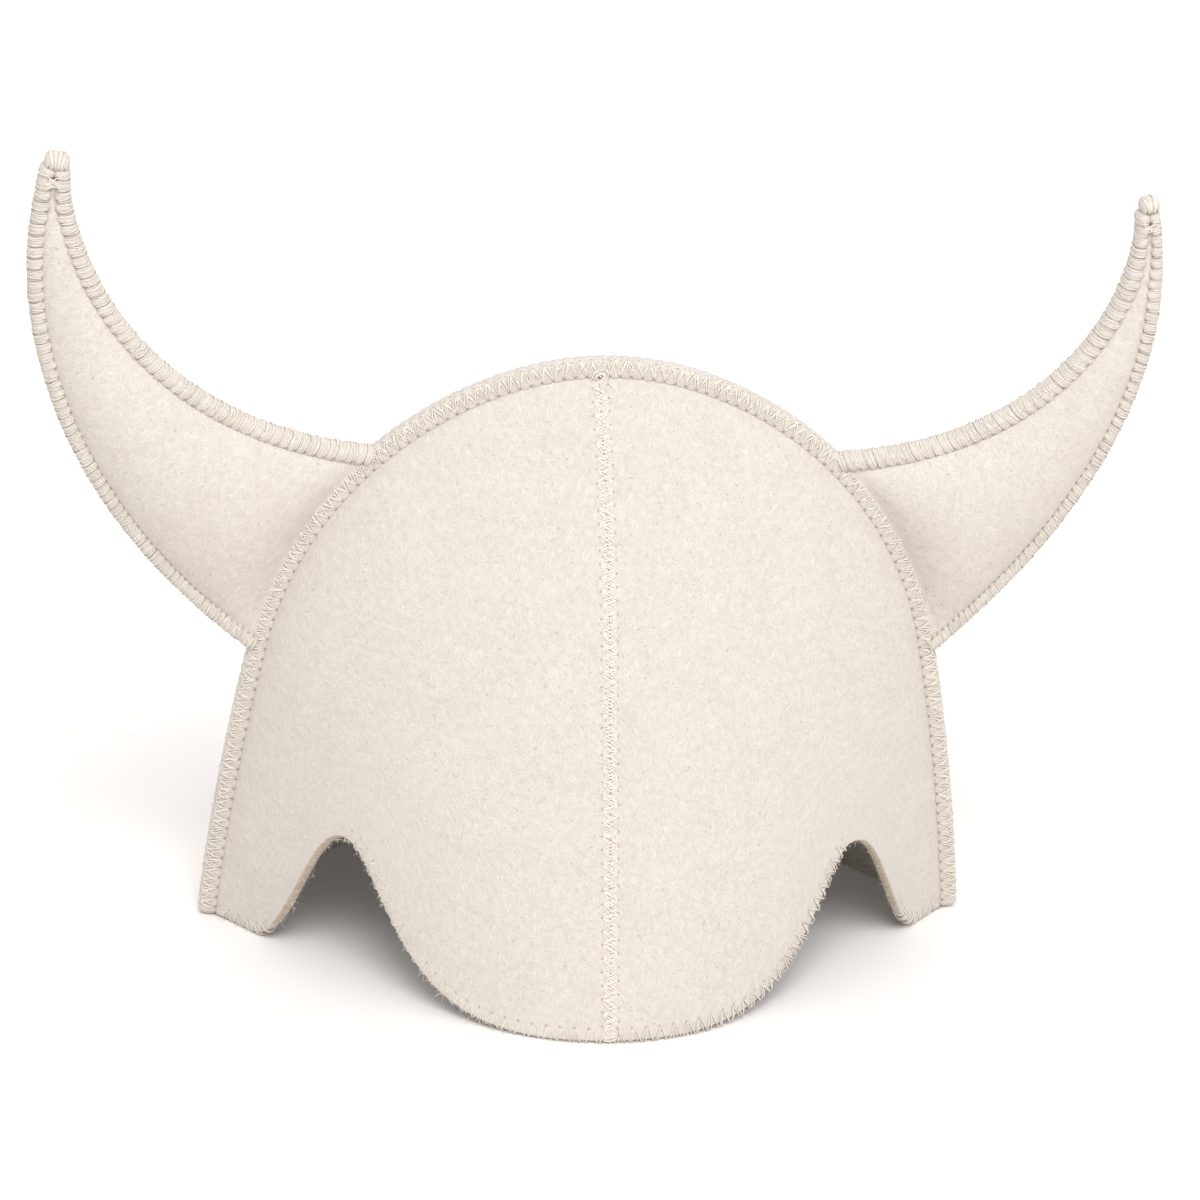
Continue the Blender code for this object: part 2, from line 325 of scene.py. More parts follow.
def strands(name, lines, ups, radius, material, sides=5):
    """A piece of many short threads: tubes round their lines with a few sides, thinner
    towards both ends, which close on a point. lines and ups are (count, steps, 3)."""
    count, steps, _ = lines.shape
    tangent = unit(np.gradient(lines, axis=1))
    side = unit(np.cross(tangent, ups))
    up = np.cross(side, tangent)
    turn = np.linspace(0, 2 * math.pi, sides, endpoint=False)
    where = np.linspace(-1, 1, steps)
    taper = (THREAD_END + (1 - THREAD_END) * (1 - where**TAPER_POWER))[None, :, None, None]
    radius = np.broadcast_to(radius, (count,))[:, None, None, None] * taper
    ring = np.cos(turn)[:, None] * side[:, :, None] + np.sin(turn)[:, None] * up[:, :, None]
    tube = lines[:, :, None] + radius * ring
    ends = np.stack([lines[:, 0], lines[:, -1]], 1)
    points = np.concatenate([tube.reshape(-1, 3), ends.reshape(-1, 3)])
    number = np.arange(count * steps * sides).reshape(count, steps, sides)
    around = np.roll(number, -1, axis=2)
    quads = np.stack([number[:, :-1], around[:, :-1], around[:, 1:], number[:, 1:]], -1)
    first = count * steps * sides + 2 * np.arange(count)[:, None]
    first = np.broadcast_to(first, (count, sides))
    start = np.stack([around[:, 0], number[:, 0], first], -1)
    end = np.stack([number[:, -1], around[:, -1], first + 1], -1)
    along = np.cumsum(np.linalg.norm(np.diff(lines, axis=1, prepend=lines[:, :1]), axis=-1), 1)
    seed = np.arange(count)[:, None] * THREAD_SHIFT
    u = np.broadcast_to((turn / (2 * math.pi))[None, None], number.shape)
    v = np.broadcast_to((along + seed)[:, :, None], number.shape)
    tube_map = np.stack([u, v], -1).reshape(-1, 2)
    end_map = np.stack([np.zeros((count, 2)), along[:, [0, -1]] + seed], -1).reshape(-1, 2)
    faces = [quads.reshape(-1, 4), np.concatenate([start, end]).reshape(-1, 3)]
    maps = {"thread": np.concatenate([tube_map, end_map])}
    return make_piece(name, points, faces, material, maps=maps)


def turned(threads, side, face=1.0):
    """The lines and ups of threads, turned over in X and Y."""
    turn = np.array([side, face, 1.0])
    return [part * turn for part in threads]


def joined(sets):
    """The lines and ups of several sets of threads as one set."""
    return [np.concatenate(parts) for parts in zip(*sets)]


class SewnEdge:
    """A rolled and overcast felt edge, swept along a line in the arch's plane.

    The section is a superellipse: half_height out from the line, and half_depth in Y.
    It is squarer on its inner side, where it meets the felt. Between stitches it bulges
    as a sine to the power of bead_power, and at each stitch it is drawn in, by bead as a
    share of its height and bead_deep of that in Y. slant moves the grooves along as they
    pass over the edge. Stitches are counted by their phase, which grows by the length
    over the pitch and ends on a whole number. The end sections are shrunk to a dome, as
    if END_LEAST inside it.
    """

    POWER = 2.25
    INNER_POWER = 3.6
    END_LEAST = 0.02 * MM

    def __init__(self, line, outward, half_height, half_depth, pitch,
                 bead, bead_power=0.6, bead_deep=0.6, slant=0.0):
        self.length = path_length(line)
        self.line = line
        self.outward = outward
        self.half_height = half_height
        self.half_depth = half_depth
        pitch = np.broadcast_to(pitch, self.length.shape)
        steps = np.diff(self.length) * 2 / (pitch[1:] + pitch[:-1])
        phase = np.concatenate([[0.0], np.cumsum(steps)])
        self.stitches = round(phase[-1])
        self.phase = phase * self.stitches / phase[-1]
        self.bead = bead
        self.bead_power = bead_power
        self.bead_deep = bead_deep
        self.slant = slant

    def read(self, along, values):
        """Values along the edge's line, read at some lengths."""
        return np.interp(along, self.length, values)

    def at(self, phase):
        """Length along the edge at a phase."""
        return np.interp(phase, self.phase, self.length)

    def point(self, along, around, lift=0.0):
        """The surface point at a length and an angle, 0 at the crest and positive to
        the front, raised by lift, with the outward direction there."""
        along, around = np.broadcast_arrays(along, around)
        cosine, sine = np.cos(around), np.sin(around)
        power = np.where(cosine < 0, self.INNER_POWER, self.POWER)
        out = np.sign(cosine) * np.abs(cosine) ** (2 / power)
        front = np.sign(sine) * np.abs(sine) ** (2 / power)
        phase = self.read(along, self.phase) + self.slant * np.sin(around)
        bulge = np.abs(np.sin(math.pi * phase)) ** self.bead_power
        draw = 1 - self.read(along, self.bead) * (1 - bulge)
        outward = unit(vectors_at(along, self.length, self.outward))
        tall = self.read(along, self.half_height) * draw
        deep = self.read(along, self.half_depth) * (1 + (draw - 1) * self.bead_deep)
        ups = unit(np.stack([
            outward[..., 0] * cosine * deep,
            -sine * tall,
            outward[..., 1] * cosine * deep,
        ], -1))
        x = self.read(along, self.line[:, 0]) + outward[..., 0] * out * tall
        z = self.read(along, self.line[:, 1]) + outward[..., 1] * out * tall
        return np.stack([x, -front * deep, z], -1) + ups * np.asarray(lift)[..., None], ups

    def mesh(self, per_stitch, sides, end_round):
        """Points, faces and map of the swept edge, closed by rounded ends."""
        phase = np.linspace(0, self.stitches, self.stitches * per_stitch + 1)
        stations = self.at(phase)
        angles = np.linspace(0, 2 * math.pi, sides, endpoint=False)
        points, _ = self.point(stations[:, None], angles[None, :])
        middle = points.mean(1, keepdims=True)
        from_end = np.minimum(stations, self.length[-1] - stations)
        shrink = rounding(from_end + self.END_LEAST, end_round, 2.0)[:, None, None]
        points = middle + (points - middle) * shrink
        number = np.arange(points.shape[0] * sides).reshape(-1, sides)
        quads = grid_quads(number, wrap=True)
        first, last = number.size, number.size + 1
        around = np.roll(number, -1, axis=1)
        start = np.stack([around[0], number[0], np.full(sides, first)], -1)
        end = np.stack([number[-1], around[-1], np.full(sides, last)], -1)
        v = path_length(points[len(points) // 2])
        turn = np.degrees(np.minimum(angles, 2 * math.pi - angles))
        maps = {"cloth": (stations[:, None], v), "round": (phase[:, None], turn)}
        for key, (first_axis, second_axis) in maps.items():
            grid = np.stack(np.broadcast_arrays(first_axis, second_axis[None, :]), -1)
            ends = np.stack([grid[0, 0], grid[-1, 0]])
            maps[key] = np.concatenate([grid.reshape(-1, 2), ends])
        points = np.concatenate([points.reshape(-1, 3), middle[0], middle[-1]])
        return points, [quads, np.concatenate([start, end])], maps


# How far apart a leg's strands stay in their holes, how steeply they rise from them, and
# how their rises differ
HOLE_SPREAD = 0.35
RISE_POWER = 0.6
RISE_RANGE = (0.75, 1.25)


def zigzag(count, pitch, per_leg, steps, rng, stagger=0.5, spread=0.16, wander=0.07):
    """Threads that run to and fro between two rows of needle holes.

    Leg 2k goes from hole k of row 0 to hole k of row 1, which lies stagger pitches
    further, and leg 2k + 1 on to hole k + 1 of row 0. Its strands part by spread pitches
    as a half sine, and stray by about wander. Gives each thread's length along, its share
    from row 0 to row 1, and its rise from 0 to 1 and back.
    """
    leg = np.repeat(np.arange(2 * count), per_leg)
    strand = np.tile(np.arange(per_leg), 2 * count) - (per_leg - 1) / 2
    share = np.linspace(0, 1, steps)[None, :]
    hole = leg // 2
    there = leg % 2 == 0
    start = np.where(there, hole, hole + stagger)[:, None]
    end = np.where(there, hole + stagger, hole + 1)[:, None]
    bulge = np.sin(math.pi * share)
    aside = (strand * spread)[:, None] * (HOLE_SPREAD + bulge)
    loose = rng.normal(0, wander, (len(leg), 1)) * bulge
    ends = rng.normal(0, wander / 2, (len(leg), 2))
    start, end = start + ends[:, :1], end + ends[:, 1:]
    along = (start + (end - start) * share + aside + loose) * pitch
    across = np.where(there[:, None], share, 1 - share)
    rise = bulge**RISE_POWER * rng.uniform(*RISE_RANGE, (len(leg), 1))
    return along, across, rise


# Felt pieces

PANEL_COLUMNS = 100
PANEL_ROWS = 98
# Where the first columns and rows lie close, for a round corner beside the seam and brim
SEAM_ANGLES = (0.0, 0.0006, 0.002, 0.0045, 0.008, 0.0125)
BRIM_STEPS_MM = (0.0, 0.07, 0.2, 0.45, 0.8, 1.3)
CROWN_MARGIN = 4.0 * MM
BUTT_ROUND = 0.12 * MM
BRIM_ROUND = 0.7 * MM
TUCK_ROUND = 0.8 * MM
PANEL_TUCK = 0.35 * MM
# Added to the hem map where the brim is bare, which takes its needle holes out of sight
BARE_OFFSET = 900.0
SEAM_START = 0.6 * MM
SEAM_STAGGER = 0.35
DENT = 0.45 * MM
DENT_WAVE = 60.0 * MM
DENT_FADE = 14.0 * MM
# The lines of equal dents, as how far X and Z count against each other in two waves
DENT_SLANTS = (0.6, -0.4)
# The front centre seam leans to the left by SEAM_LEAN, and by SEAM_SWAY more at the crown
SEAM_LEAN = 0.7 * MM
SEAM_SWAY = 2.2 * MM
SWAY_SPAN = (110.0 * MM, 177.0 * MM)
SWAY_POWER = 1.6
# The slanted cut draws the felt's outer face in by their sum, as a share of its spread,
# and lets the inner face out by their difference
SLANT_MIDDLE, SLANT_TURN = 0.25, 0.5


def away_from_brim(points, normal, axis):
    """Directions that lie in the felt and point up, at right angles to the lines of
    points along an axis."""
    inward = unit(np.cross(np.gradient(points, axis=axis), normal))
    return inward * np.sign(inward[..., 2:] + 1e-9)


def brim_frame(share, face, side):
    """The middle of the felt at the brim, and outward normals there."""
    height = brim_height(share, face, side)
    return panel_frame(half_width(height) * share, height)


def brim_line(face, side, count=1600):
    """The brim along one half of a face, from the centre seam to the arch, on the +X side:
    shares of the half width, points in the middle of the felt, outward normals, and
    directions that lie in the felt and point away from the edge."""
    share = np.sin(np.linspace(0, math.pi / 2, count))
    point, normal = brim_frame(share, face, side)
    return share, point, normal, away_from_brim(point, normal, 0)


def seam_sway(height, face):
    """How far the centre seam of a face strays in X: a power of the height's share of
    SWAY_SPAN. The back one is straight."""
    low, high = SWAY_SPAN
    share = np.clip((height - low) / (high - low), 0, 1)
    return -(SEAM_LEAN + SEAM_SWAY * share**SWAY_POWER) * (face > 0)


def seam_line(face, count=1200):
    """The middle of the felt up the centre seam of a face, from brim to crown."""
    height = np.linspace(0, CROWN - 0.2 * MM, count)
    point, normal = panel_frame(np.zeros(count), height)
    point[..., 0] += seam_sway(height, face)
    return point, normal


def panel_grid(face, side):
    """Places on one panel: shares of the half width, heights, and the brim's height.
    Columns run from the brim to the crown at even angles, whose sine is the share, and
    rows follow the arch, bent by the notch."""
    angle = np.linspace(SEAM_ANGLES[-1], math.pi / 2, PANEL_COLUMNS)
    share = np.sin(np.concatenate([SEAM_ANGLES[:-1], angle]))[None, :]
    length = path_length(PANEL_OUTLINE)
    first = np.array(BRIM_STEPS_MM) * MM
    level = np.linspace(first[-1], length[-1] - CROWN_MARGIN, PANEL_ROWS)
    level = np.concatenate([first[:-1], level])
    base = np.interp(level, length, PANEL_OUTLINE[:, 1])[:, None]
    ease = np.clip(1 - base / NOTCH_REACH, 0, None) ** NOTCH_EASE
    edge = brim_height(share, face, side)
    return share, base + edge * ease, edge


def panel_piece(name, face, side, seed, felt, stitch, material):
    """One felt panel as a closed sheet. Its two faces stand half the thickness off the
    middle, times a rounding of the distance to each cut edge. Two waves of shallow dents
    move the middle, and the cut beside the arch slants as a bell curve of the distance
    to the brim."""
    share, height, edge = panel_grid(face, side)
    across = half_width(height) * share
    middle, normal = panel_frame(across, height)
    from_arch = np.hypot(half_width(height) - across, forward(across, height) - SEAM_HALF)
    slope = np.gradient(edge[0], path_length(middle[0, :, :2]))
    from_brim = (height - edge) / np.sqrt(1 + slope**2)

    x, z = middle[..., 0], middle[..., 2]
    dents = (smooth_noise(x + DENT_SLANTS[0] * z, seed, DENT_WAVE)
             + smooth_noise(z + DENT_SLANTS[1] * x, seed + 1, DENT_WAVE))
    nearest = np.minimum(np.minimum(from_arch, across), from_brim)
    dents = DENT / 2 * dents * np.clip(nearest / DENT_FADE, 0, 1)
    middle = middle + normal * dents[..., None]
    middle[..., 0] += side * seam_sway(height, face) * (1 - share**2) ** 2

    full = rounding(across, BUTT_ROUND) * rounding(from_brim, BRIM_ROUND)
    full = (full * rounding(from_arch, PANEL_TUCK))[..., None]
    half = normal * full * felt.thickness / 2
    bare = bare_edge(share, face)
    spread = CUT_SLANT[side] * bare * np.exp(-(from_brim / CUT_SLANT_REACH) ** 2)
    slant = away_from_brim(middle, normal, 1) * spread[..., None]
    outer = middle + half + slant * (SLANT_MIDDLE + SLANT_TURN * full)
    inner = middle - half + slant * (SLANT_MIDDLE - SLANT_TURN * full)
    points, quads, place = closed_sheet(outer, inner)

    rows = np.linalg.norm(np.diff(middle, axis=1, prepend=middle[:, :1]), axis=-1)
    up_seam = path_length(middle[:, 0])[:, None]
    round_brim = path_length(brim_frame(share[0], face, side)[0])[None, :]
    lag = 0.5 if side < 0 else 0.5 - SEAM_STAGGER
    maps = {
        "cloth": (np.cumsum(rows, 1) * side + seed, up_seam + 0 * across),
        "seam": ((up_seam - SEAM_START) / stitch.seam_pitch + lag + 0 * across, across / MM),
        "hem": (round_brim / stitch.hem_pitch + 0 * across,
                from_brim / MM + BARE_OFFSET * bare),
    }
    maps = {key: np.stack(uv, -1).reshape(-1, 2)[place] for key, uv in maps.items()}
    piece = make_piece(name, points, [quads], material, (side, face), maps)
    return piece


def horn_line(row):
    """The middle line of a horn: shares of its length, points, headings and widths."""
    share = np.linspace(-HORN_OVERRUN, 1, HORN_SAMPLES)
    bow = 4 * share * (1 - share)
    turn = row["heading_end"] - row["heading_start"]
    heading = np.radians(row["heading_start"] + turn * share + row["heading_bow"] * bow)
    step = (share[1] - share[0]) * row["length"] * MM
    middle = (heading[1:] + heading[:-1]) / 2
    x = np.concatenate([[0.0], np.cumsum(np.cos(middle) * step)])
    z = np.concatenate([[0.0], np.cumsum(np.sin(middle) * step)])
    x += row["start_x"] * MM - np.interp(0, share, x)
    z += row["start_z"] * MM - np.interp(0, share, z)
    taper = row["tip_width"] - row["base_width"]
    width = (row["base_width"] + taper * share - row["waist"] * bow) * MM
    return share, x, z, heading, width


def horn_place(row, share, face, edge):
    """Place on a horn's flat outline, with its heading, width and sewn edge's width.

    face runs from -1 to 1 between the two sewn edges, and edge is -1 or 1 at the outer
    side of the lower or upper one.
    """
    shares, *lines = horn_line(row)
    x, z, heading, width = [np.interp(share, shares, line) for line in lines]
    seam = np.minimum(HORN_SEAM, HORN_SEAM_SHARE * width)
    reach = face * (width / 2 - seam) + edge * seam
    return x - reach * np.sin(heading), z + reach * np.cos(heading), heading, width, seam


def horn_base(row, face, edge, inset):
    """Share of the horn's length at which each line along it leaves the arch, which is
    moved inward by inset: the middle of a span that is halved again and again."""
    outline, _ = arch_curve(inset)
    hub_z = row["start_z"] * MM / 2
    edge_angle = np.arctan2(outline[:, 0], outline[:, 1] - hub_z)[::-1]
    edge_reach = np.hypot(outline[:, 0], outline[:, 1] - hub_z)[::-1]
    low = np.full_like(face, -HORN_OVERRUN)
    high = np.full_like(face, 1 - HORN_OVERRUN)
    for _ in range(BASE_HALVINGS):
        share = (low + high) / 2
        x, z = horn_place(row, share, face, edge)[:2]
        angle = np.arctan2(x, z - hub_z)
        inside = np.hypot(x, z - hub_z) < np.interp(angle, edge_angle, edge_reach)
        low = np.where(inside, share, low)
        high = np.where(inside, high, share)
    return high


HORN_STEPS_ALONG = 110
HORN_STEPS_ACROSS = 44
# Where the margins' lines lie under the rolls, in shares of the sewn edge's width, and
# the share of the horn's length at which its faces end
HORN_MARGIN = (0.3, 0.5, 0.6)
HORN_FACE_END = 0.995
# How far the faces and the rolls reach in under the arch's ridge
HORN_TUCK = 3.0 * MM
HORN_EDGE_TUCK = 2.5 * MM
# Towards the tip the face sinks between the two rolls, which meet over it
TIP_SINK = 1.5 * MM
TIP_SINK_REACH = 22.0 * MM


def horn_row(side_name):
    """A horn's sizes by name."""
    return dict(zip(HORN_COLUMNS, HORN_ROWS[side_name]))


def horn_face(name, side_name, face, side, seed, felt, material):
    """One felt face of a horn as a closed sheet. Across the horn the face puffs out as a
    power of a cosine whose sine is the share of the width, between two sewn edges."""
    row = horn_row(side_name)
    lean = np.linspace(-math.pi / 2, math.pi / 2, HORN_STEPS_ACROSS)
    margin = np.array(HORN_MARGIN)
    flat = 0 * margin
    share_across = np.concatenate([flat - 1, np.sin(lean), flat + 1])
    dome = np.concatenate([flat, np.clip(np.cos(lean), 0, None), flat])
    edge = np.concatenate([-margin[::-1], 0 * lean, margin])
    along = np.linspace(0, 1, HORN_STEPS_ALONG)[:, None]
    base = horn_base(row, share_across, edge, HORN_TUCK)
    shown = horn_base(row, share_across, edge, 0.0)
    share = base + (HORN_FACE_END - base) * along
    x, z, _, width, seam = horn_place(row, share, share_across, edge)
    length = row["length"] * MM
    from_arch = np.clip(share - shown, 0, None) * length
    ease = 1 - np.exp(-from_arch / HORN_EASE)
    puff = felt.horn_puff * (width / 2 - seam) * ease * dome**felt.horn_puff_power
    puff = puff + DENT * smooth_noise(share * length + 0.3 * x, seed, DENT_WAVE) * dome * ease
    sink = TIP_SINK * np.clip(1 - (1 - share) * length / TIP_SINK_REACH, 0, 1)
    middle = np.stack([x, sink - SEAM_HALF - puff, z], -1)
    normal = unit(np.cross(np.gradient(middle, axis=0), np.gradient(middle, axis=1)))
    normal *= -np.sign(normal[..., 1:2] + 1e-9)
    rim = (margin[-1] - np.abs(edge)) * seam
    ends = np.minimum(share - base, HORN_FACE_END - share) * length
    thick = felt.thickness / 2 * rounding(rim, TUCK_ROUND) * rounding(ends, TUCK_ROUND)
    outer = middle + normal * thick[..., None]
    inner = middle - normal * thick[..., None]
    inner[..., 1] = np.minimum(inner[..., 1], -SEAM_GAP / 2)
    points, quads, place = closed_sheet(outer, inner)
    steps = np.linalg.norm(np.diff(middle, axis=1, prepend=middle[:, :1]), axis=-1)
    cloth = np.stack([share * length + seed, np.cumsum(steps, 1)], -1)
    maps = {"cloth": cloth.reshape(-1, 2)[place]}
    piece = make_piece(name, points, [quads], material, (side, face), maps)
    return piece


# Sewn edges

RIDGE_HALF_HEIGHT = 3.6 * MM
RIDGE_HALF_DEPTH = 3.5 * MM
RIDGE_BEAD = 0.10
# Shares by which a horn's edge is drawn in at a stitch, and its stitches' lengths as
# shares of the horn pitch, both before and after a span of shares of the edge's length
HORN_EDGE_SPAN = (0.2, 0.85)
HORN_EDGE_BEAD = {"lower": (0.14, 0.32), "upper": (0.15, 0.31)}
HORN_EDGE_PITCH = {"lower": (0.72, 1.14), "upper": (0.95, 1.10)}
HORN_EDGE_PLACE = 0.5
HORN_EDGE_HEIGHT = 3.0 * MM
HORN_EDGE_DEPTH = (4.3 * MM, 3.9 * MM)
HORN_EDGE_LEAST = {"left": 2.6 * MM, "right": 2.1 * MM}
HORN_EDGE_SLANT = 0.14
HORN_EDGE_END = 3.2 * MM
# The roll that lies across a horn's tip
TIP_COLUMNS = ("inset", "aside", "width", "half_height")
TIP_ROWS = {
    # mm: how far its middle lies before the horn's end and towards the upper edge
    "left": (2.3, 0.3, 7.5, 2.55),
    "right": (1.7, -0.7, 6.1, 2.3),
}
TIP_DEPTH = 3.9 * MM
TIP_PITCH = 1.4 * MM
TIP_BEAD = 0.10
TIP_FAN = 0.6


def arch_ridge(pitch):
    """The raised seam: both felts' edges as one rolled ridge, from foot to foot."""
    points, normals = arch_curve(RIDGE_HALF_HEIGHT)
    mirror = np.array([-1.0, 1.0])
    line = np.concatenate([points * mirror, points[-2::-1]])
    outward = np.concatenate([normals * mirror, normals[-2::-1]])
    size = np.ones(len(line))
    return SewnEdge(line, outward, RIDGE_HALF_HEIGHT * size, RIDGE_HALF_DEPTH * size,
                    pitch, RIDGE_BEAD * size)


def horn_edge(side_name, which, pitch):
    """One sewn edge of a horn, from the arch to the tip, on the +X side."""
    row = horn_row(side_name)
    sign = -1.0 if which == "lower" else 1.0
    place = sign * HORN_EDGE_PLACE
    base = horn_base(row, np.array([sign]), np.array([place]), HORN_EDGE_TUCK)[0]
    share = np.linspace(base, share_before_end(row, HORN_EDGE_END), HORN_SAMPLES)
    x, z, heading, _, seam = horn_place(row, share, sign, place)
    outward = sign * np.stack([-np.sin(heading), np.cos(heading)], -1)
    run = np.linspace(0, 1, HORN_SAMPLES)
    depth = np.interp(run**2, [0, 1], HORN_EDGE_DEPTH)
    bead = np.interp(run, HORN_EDGE_SPAN, HORN_EDGE_BEAD[which])
    pitch = pitch * np.interp(run, HORN_EDGE_SPAN, HORN_EDGE_PITCH[which])
    height = np.maximum(HORN_EDGE_HEIGHT * seam / HORN_SEAM, HORN_EDGE_LEAST[side_name])
    return SewnEdge(np.stack([x, z], -1), outward, height, depth, pitch, bead,
                    bead_power=0.65, bead_deep=0.8, slant=HORN_EDGE_SLANT)


def share_before_end(row, distance):
    """Share of a horn's length at a distance before its end."""
    return 1 - distance / (row["length"] * MM)


def horn_cross(row, distance):
    """A horn's middle at a distance before its end, and the directions across it, to the
    upper edge, and along it."""
    x, z, heading, _, _ = horn_place(row, share_before_end(row, distance), 0.0, 0.0)
    across = np.array([-math.sin(heading), math.cos(heading)])
    return np.array([x, z]), across, np.array([across[1], -across[0]])


def horn_tip(side_name):
    """The roll that closes a horn's tip, on the +X side: straight across it."""
    tip = dict(zip(TIP_COLUMNS, np.array(TIP_ROWS[side_name]) * MM))
    middle, across, ahead = horn_cross(horn_row(side_name), tip["inset"])
    reach = np.linspace(-0.5, 0.5, HORN_SAMPLES)[:, None] * tip["width"] + tip["aside"]
    size = np.ones(HORN_SAMPLES)
    return SewnEdge(middle + reach * across, ahead * size[:, None],
                    tip["half_height"] * size, TIP_DEPTH * size, TIP_PITCH,
                    TIP_BEAD * size)


# Threads: angles round a sewn edge at which needle holes lie, 0 at its crest

RIDGE_HOLES = (math.radians(102), math.radians(33))
HORN_HOLES = math.radians(112)
THREAD_STEPS = 9
# Threads along the crest: how many of its stitches have one, a thread's length in
# stitches, its place before the crest's holes and how far it sags back (both radians)
CREST_SHARE = 0.4
CREST_REACH = 1.05
CREST_BEFORE = 0.12
CREST_SAG = (0.05, 0.3)
# How high threads lie, in thread diameters: at their holes, and how much more between
RIDGE_LIFT = (-0.2, 0.8)
SEAM_LIFT = (-0.3, 0.45)
CREST_LIFT = 0.2
# How many strands lie in each leg
RIDGE_STRANDS = 3
SEAM_STRANDS = 4


def ridge_threads(edge, face, stitch, rng):
    """Zigzag threads over the front side of the ridge. On the front face some others run
    along its crest and sag as a half sine. The back's threads are turned over later."""
    count = edge.stitches - 2
    phase, share, rise = zigzag(count, 1.0, RIDGE_STRANDS, THREAD_STEPS, rng, spread=0.13,
                                wander=0.09)
    base, crest = RIDGE_HOLES
    lift = stitch.thread_diameter * (RIDGE_LIFT[1] * rise + RIDGE_LIFT[0])
    line, up = edge.point(edge.at(phase + 1), base + (crest - base) * share, lift)
    if face > 0:
        share = np.linspace(0, 1, THREAD_STEPS)[None, :]
        stitches = np.flatnonzero(rng.random(count) < CREST_SHARE)[:, None]
        along = edge.at(stitches + 1 + share * CREST_REACH)
        sag = rng.uniform(*CREST_SAG, stitches.shape) * np.sin(math.pi * share)
        lift = stitch.thread_diameter * CREST_LIFT
        run = edge.point(along, crest - CREST_BEFORE + sag, lift)
        return joined([(line, up), run])
    return line, up


# Strands in a groove of a horn's edge: their places in stitches, and how they wander.
# Some grooves also have a thread that slants to the next one.
GROOVE_STRANDS = (-0.21, -0.07, 0.07, 0.21)
GROOVE_WANDER = 0.05
SLANT_SHARE = 0.3
# How far a slanting thread runs from the holes towards the crest, and how high the threads
# lie, in thread diameters
SLANT_REACH = 0.75
SLANT_LIFT = 0.7
GROOVE_LIFT = (0.2, 0.6)
# How late, from the crest to the holes, a fan draws the threads together
FAN_POWER = 1.5


def horn_threads(edge, stitch, rng, fan=0.0):
    """Threads that lie in each groove of a horn's edge, wrapped from front to back. fan
    draws their ends together towards the middle of the edge, as a share, and then no
    thread slants."""
    grooves = np.arange(1, edge.stitches)
    places = np.meshgrid(grooves, GROOVE_STRANDS, indexing="ij")
    groove, offset = [axis.ravel() for axis in places]
    around = HORN_HOLES * np.linspace(1, -1, 2 * THREAD_STEPS - 3)[None, :]
    wander = rng.normal(0, GROOVE_WANDER, (len(groove), 2))
    lean = wander[:, :1] + wander[:, 1:] * np.sin(around)
    phase = groove[:, None] - edge.slant * np.sin(around) + offset[:, None] + lean
    drawn = fan * np.abs(around / HORN_HOLES) ** FAN_POWER
    phase = np.clip(phase + (edge.stitches / 2 - phase) * drawn, 0.5, edge.stitches - 0.5)
    lift = stitch.thread_diameter * rng.uniform(*GROOVE_LIFT, (len(groove), 1))
    wrap, wrap_up = edge.point(edge.at(phase), around, lift + 0 * around)
    phase, share, rise = zigzag(edge.stitches - 1, 1.0, 1, THREAD_STEPS, rng)
    kept = rng.random(len(phase)) < (0.0 if fan else SLANT_SHARE)
    along, share, rise = edge.at(phase[kept]), share[kept], rise[kept]
    lift = stitch.thread_diameter * SLANT_LIFT * rise
    front = HORN_HOLES * (1 - SLANT_REACH * share)
    return [(wrap, wrap_up), edge.point(along, front, lift), edge.point(along, -front, lift)]


# Threads across below a horn's tip: how far before its end, and their half length
CROSS_THREADS = 7
CROSS_PLACE = 8.2 * MM
CROSS_REACH = 2.5 * MM
CROSS_SAG = 0.5 * MM
CROSS_LIFT = 0.2
# How they differ: in slant, in length, and in place along the horn
CROSS_LEANS = (0.1, 0.9)
CROSS_SIZES = (0.7, 1.0)
CROSS_STRAY = 0.5 * MM


def tip_cross(side_name, face, stitch, rng):
    """Threads that cross over the two rolls just below a horn's tip, from the crest of
    one roll to the crest of the other, and sag between them as a parabola."""
    middle, across, ahead = horn_cross(horn_row(side_name), CROSS_PLACE)
    run = np.linspace(-1, 1, THREAD_STEPS)[None, :]
    each = (CROSS_THREADS, 1)
    lean = rng.uniform(*CROSS_LEANS, each) * np.resize([1, -1], each)
    size = CROSS_REACH * rng.uniform(*CROSS_SIZES, each)
    place = rng.normal(0, CROSS_STRAY, each)
    flat = (middle + (size * run)[..., None] * across
            + (size * lean * run + place)[..., None] * ahead)
    deep = HORN_EDGE_DEPTH[1] + stitch.thread_diameter * CROSS_LIFT
    deep = deep - CROSS_SAG * (1 - run**2)
    deep = np.broadcast_to(deep, flat.shape[:2])
    line = np.stack([flat[..., 0], -face * deep, flat[..., 1]], -1)
    return line, np.broadcast_to(np.array([0.0, -face, 0.0]), line.shape)


# How far before the crown a centre seam's threads end
SEAM_END = 2.0 * MM


def seam_threads(face, stitch, rng):
    """Zigzag threads of a centre seam, laid over it between two rows of holes."""
    point, normal = seam_line(face)
    length = path_length(point)
    top = length[-1] - SEAM_END
    count = int((top - 1 * MM) / stitch.seam_pitch)
    along, share, rise = zigzag(count, stitch.seam_pitch, SEAM_STRANDS, THREAD_STEPS, rng,
                                SEAM_STAGGER, spread=0.17)
    along = np.clip(along + SEAM_START, 0.3 * MM, top)
    where = vectors_at(along, length, point)
    up = unit(vectors_at(along, length, normal))
    where[..., 0] += stitch.seam_width * (share - 0.5)
    lift = stitch.thread_diameter * (SEAM_LIFT[1] * rise + SEAM_LIFT[0])
    lift = FELT_THICKNESS / 2 + lift
    return where + up * lift[..., None], up


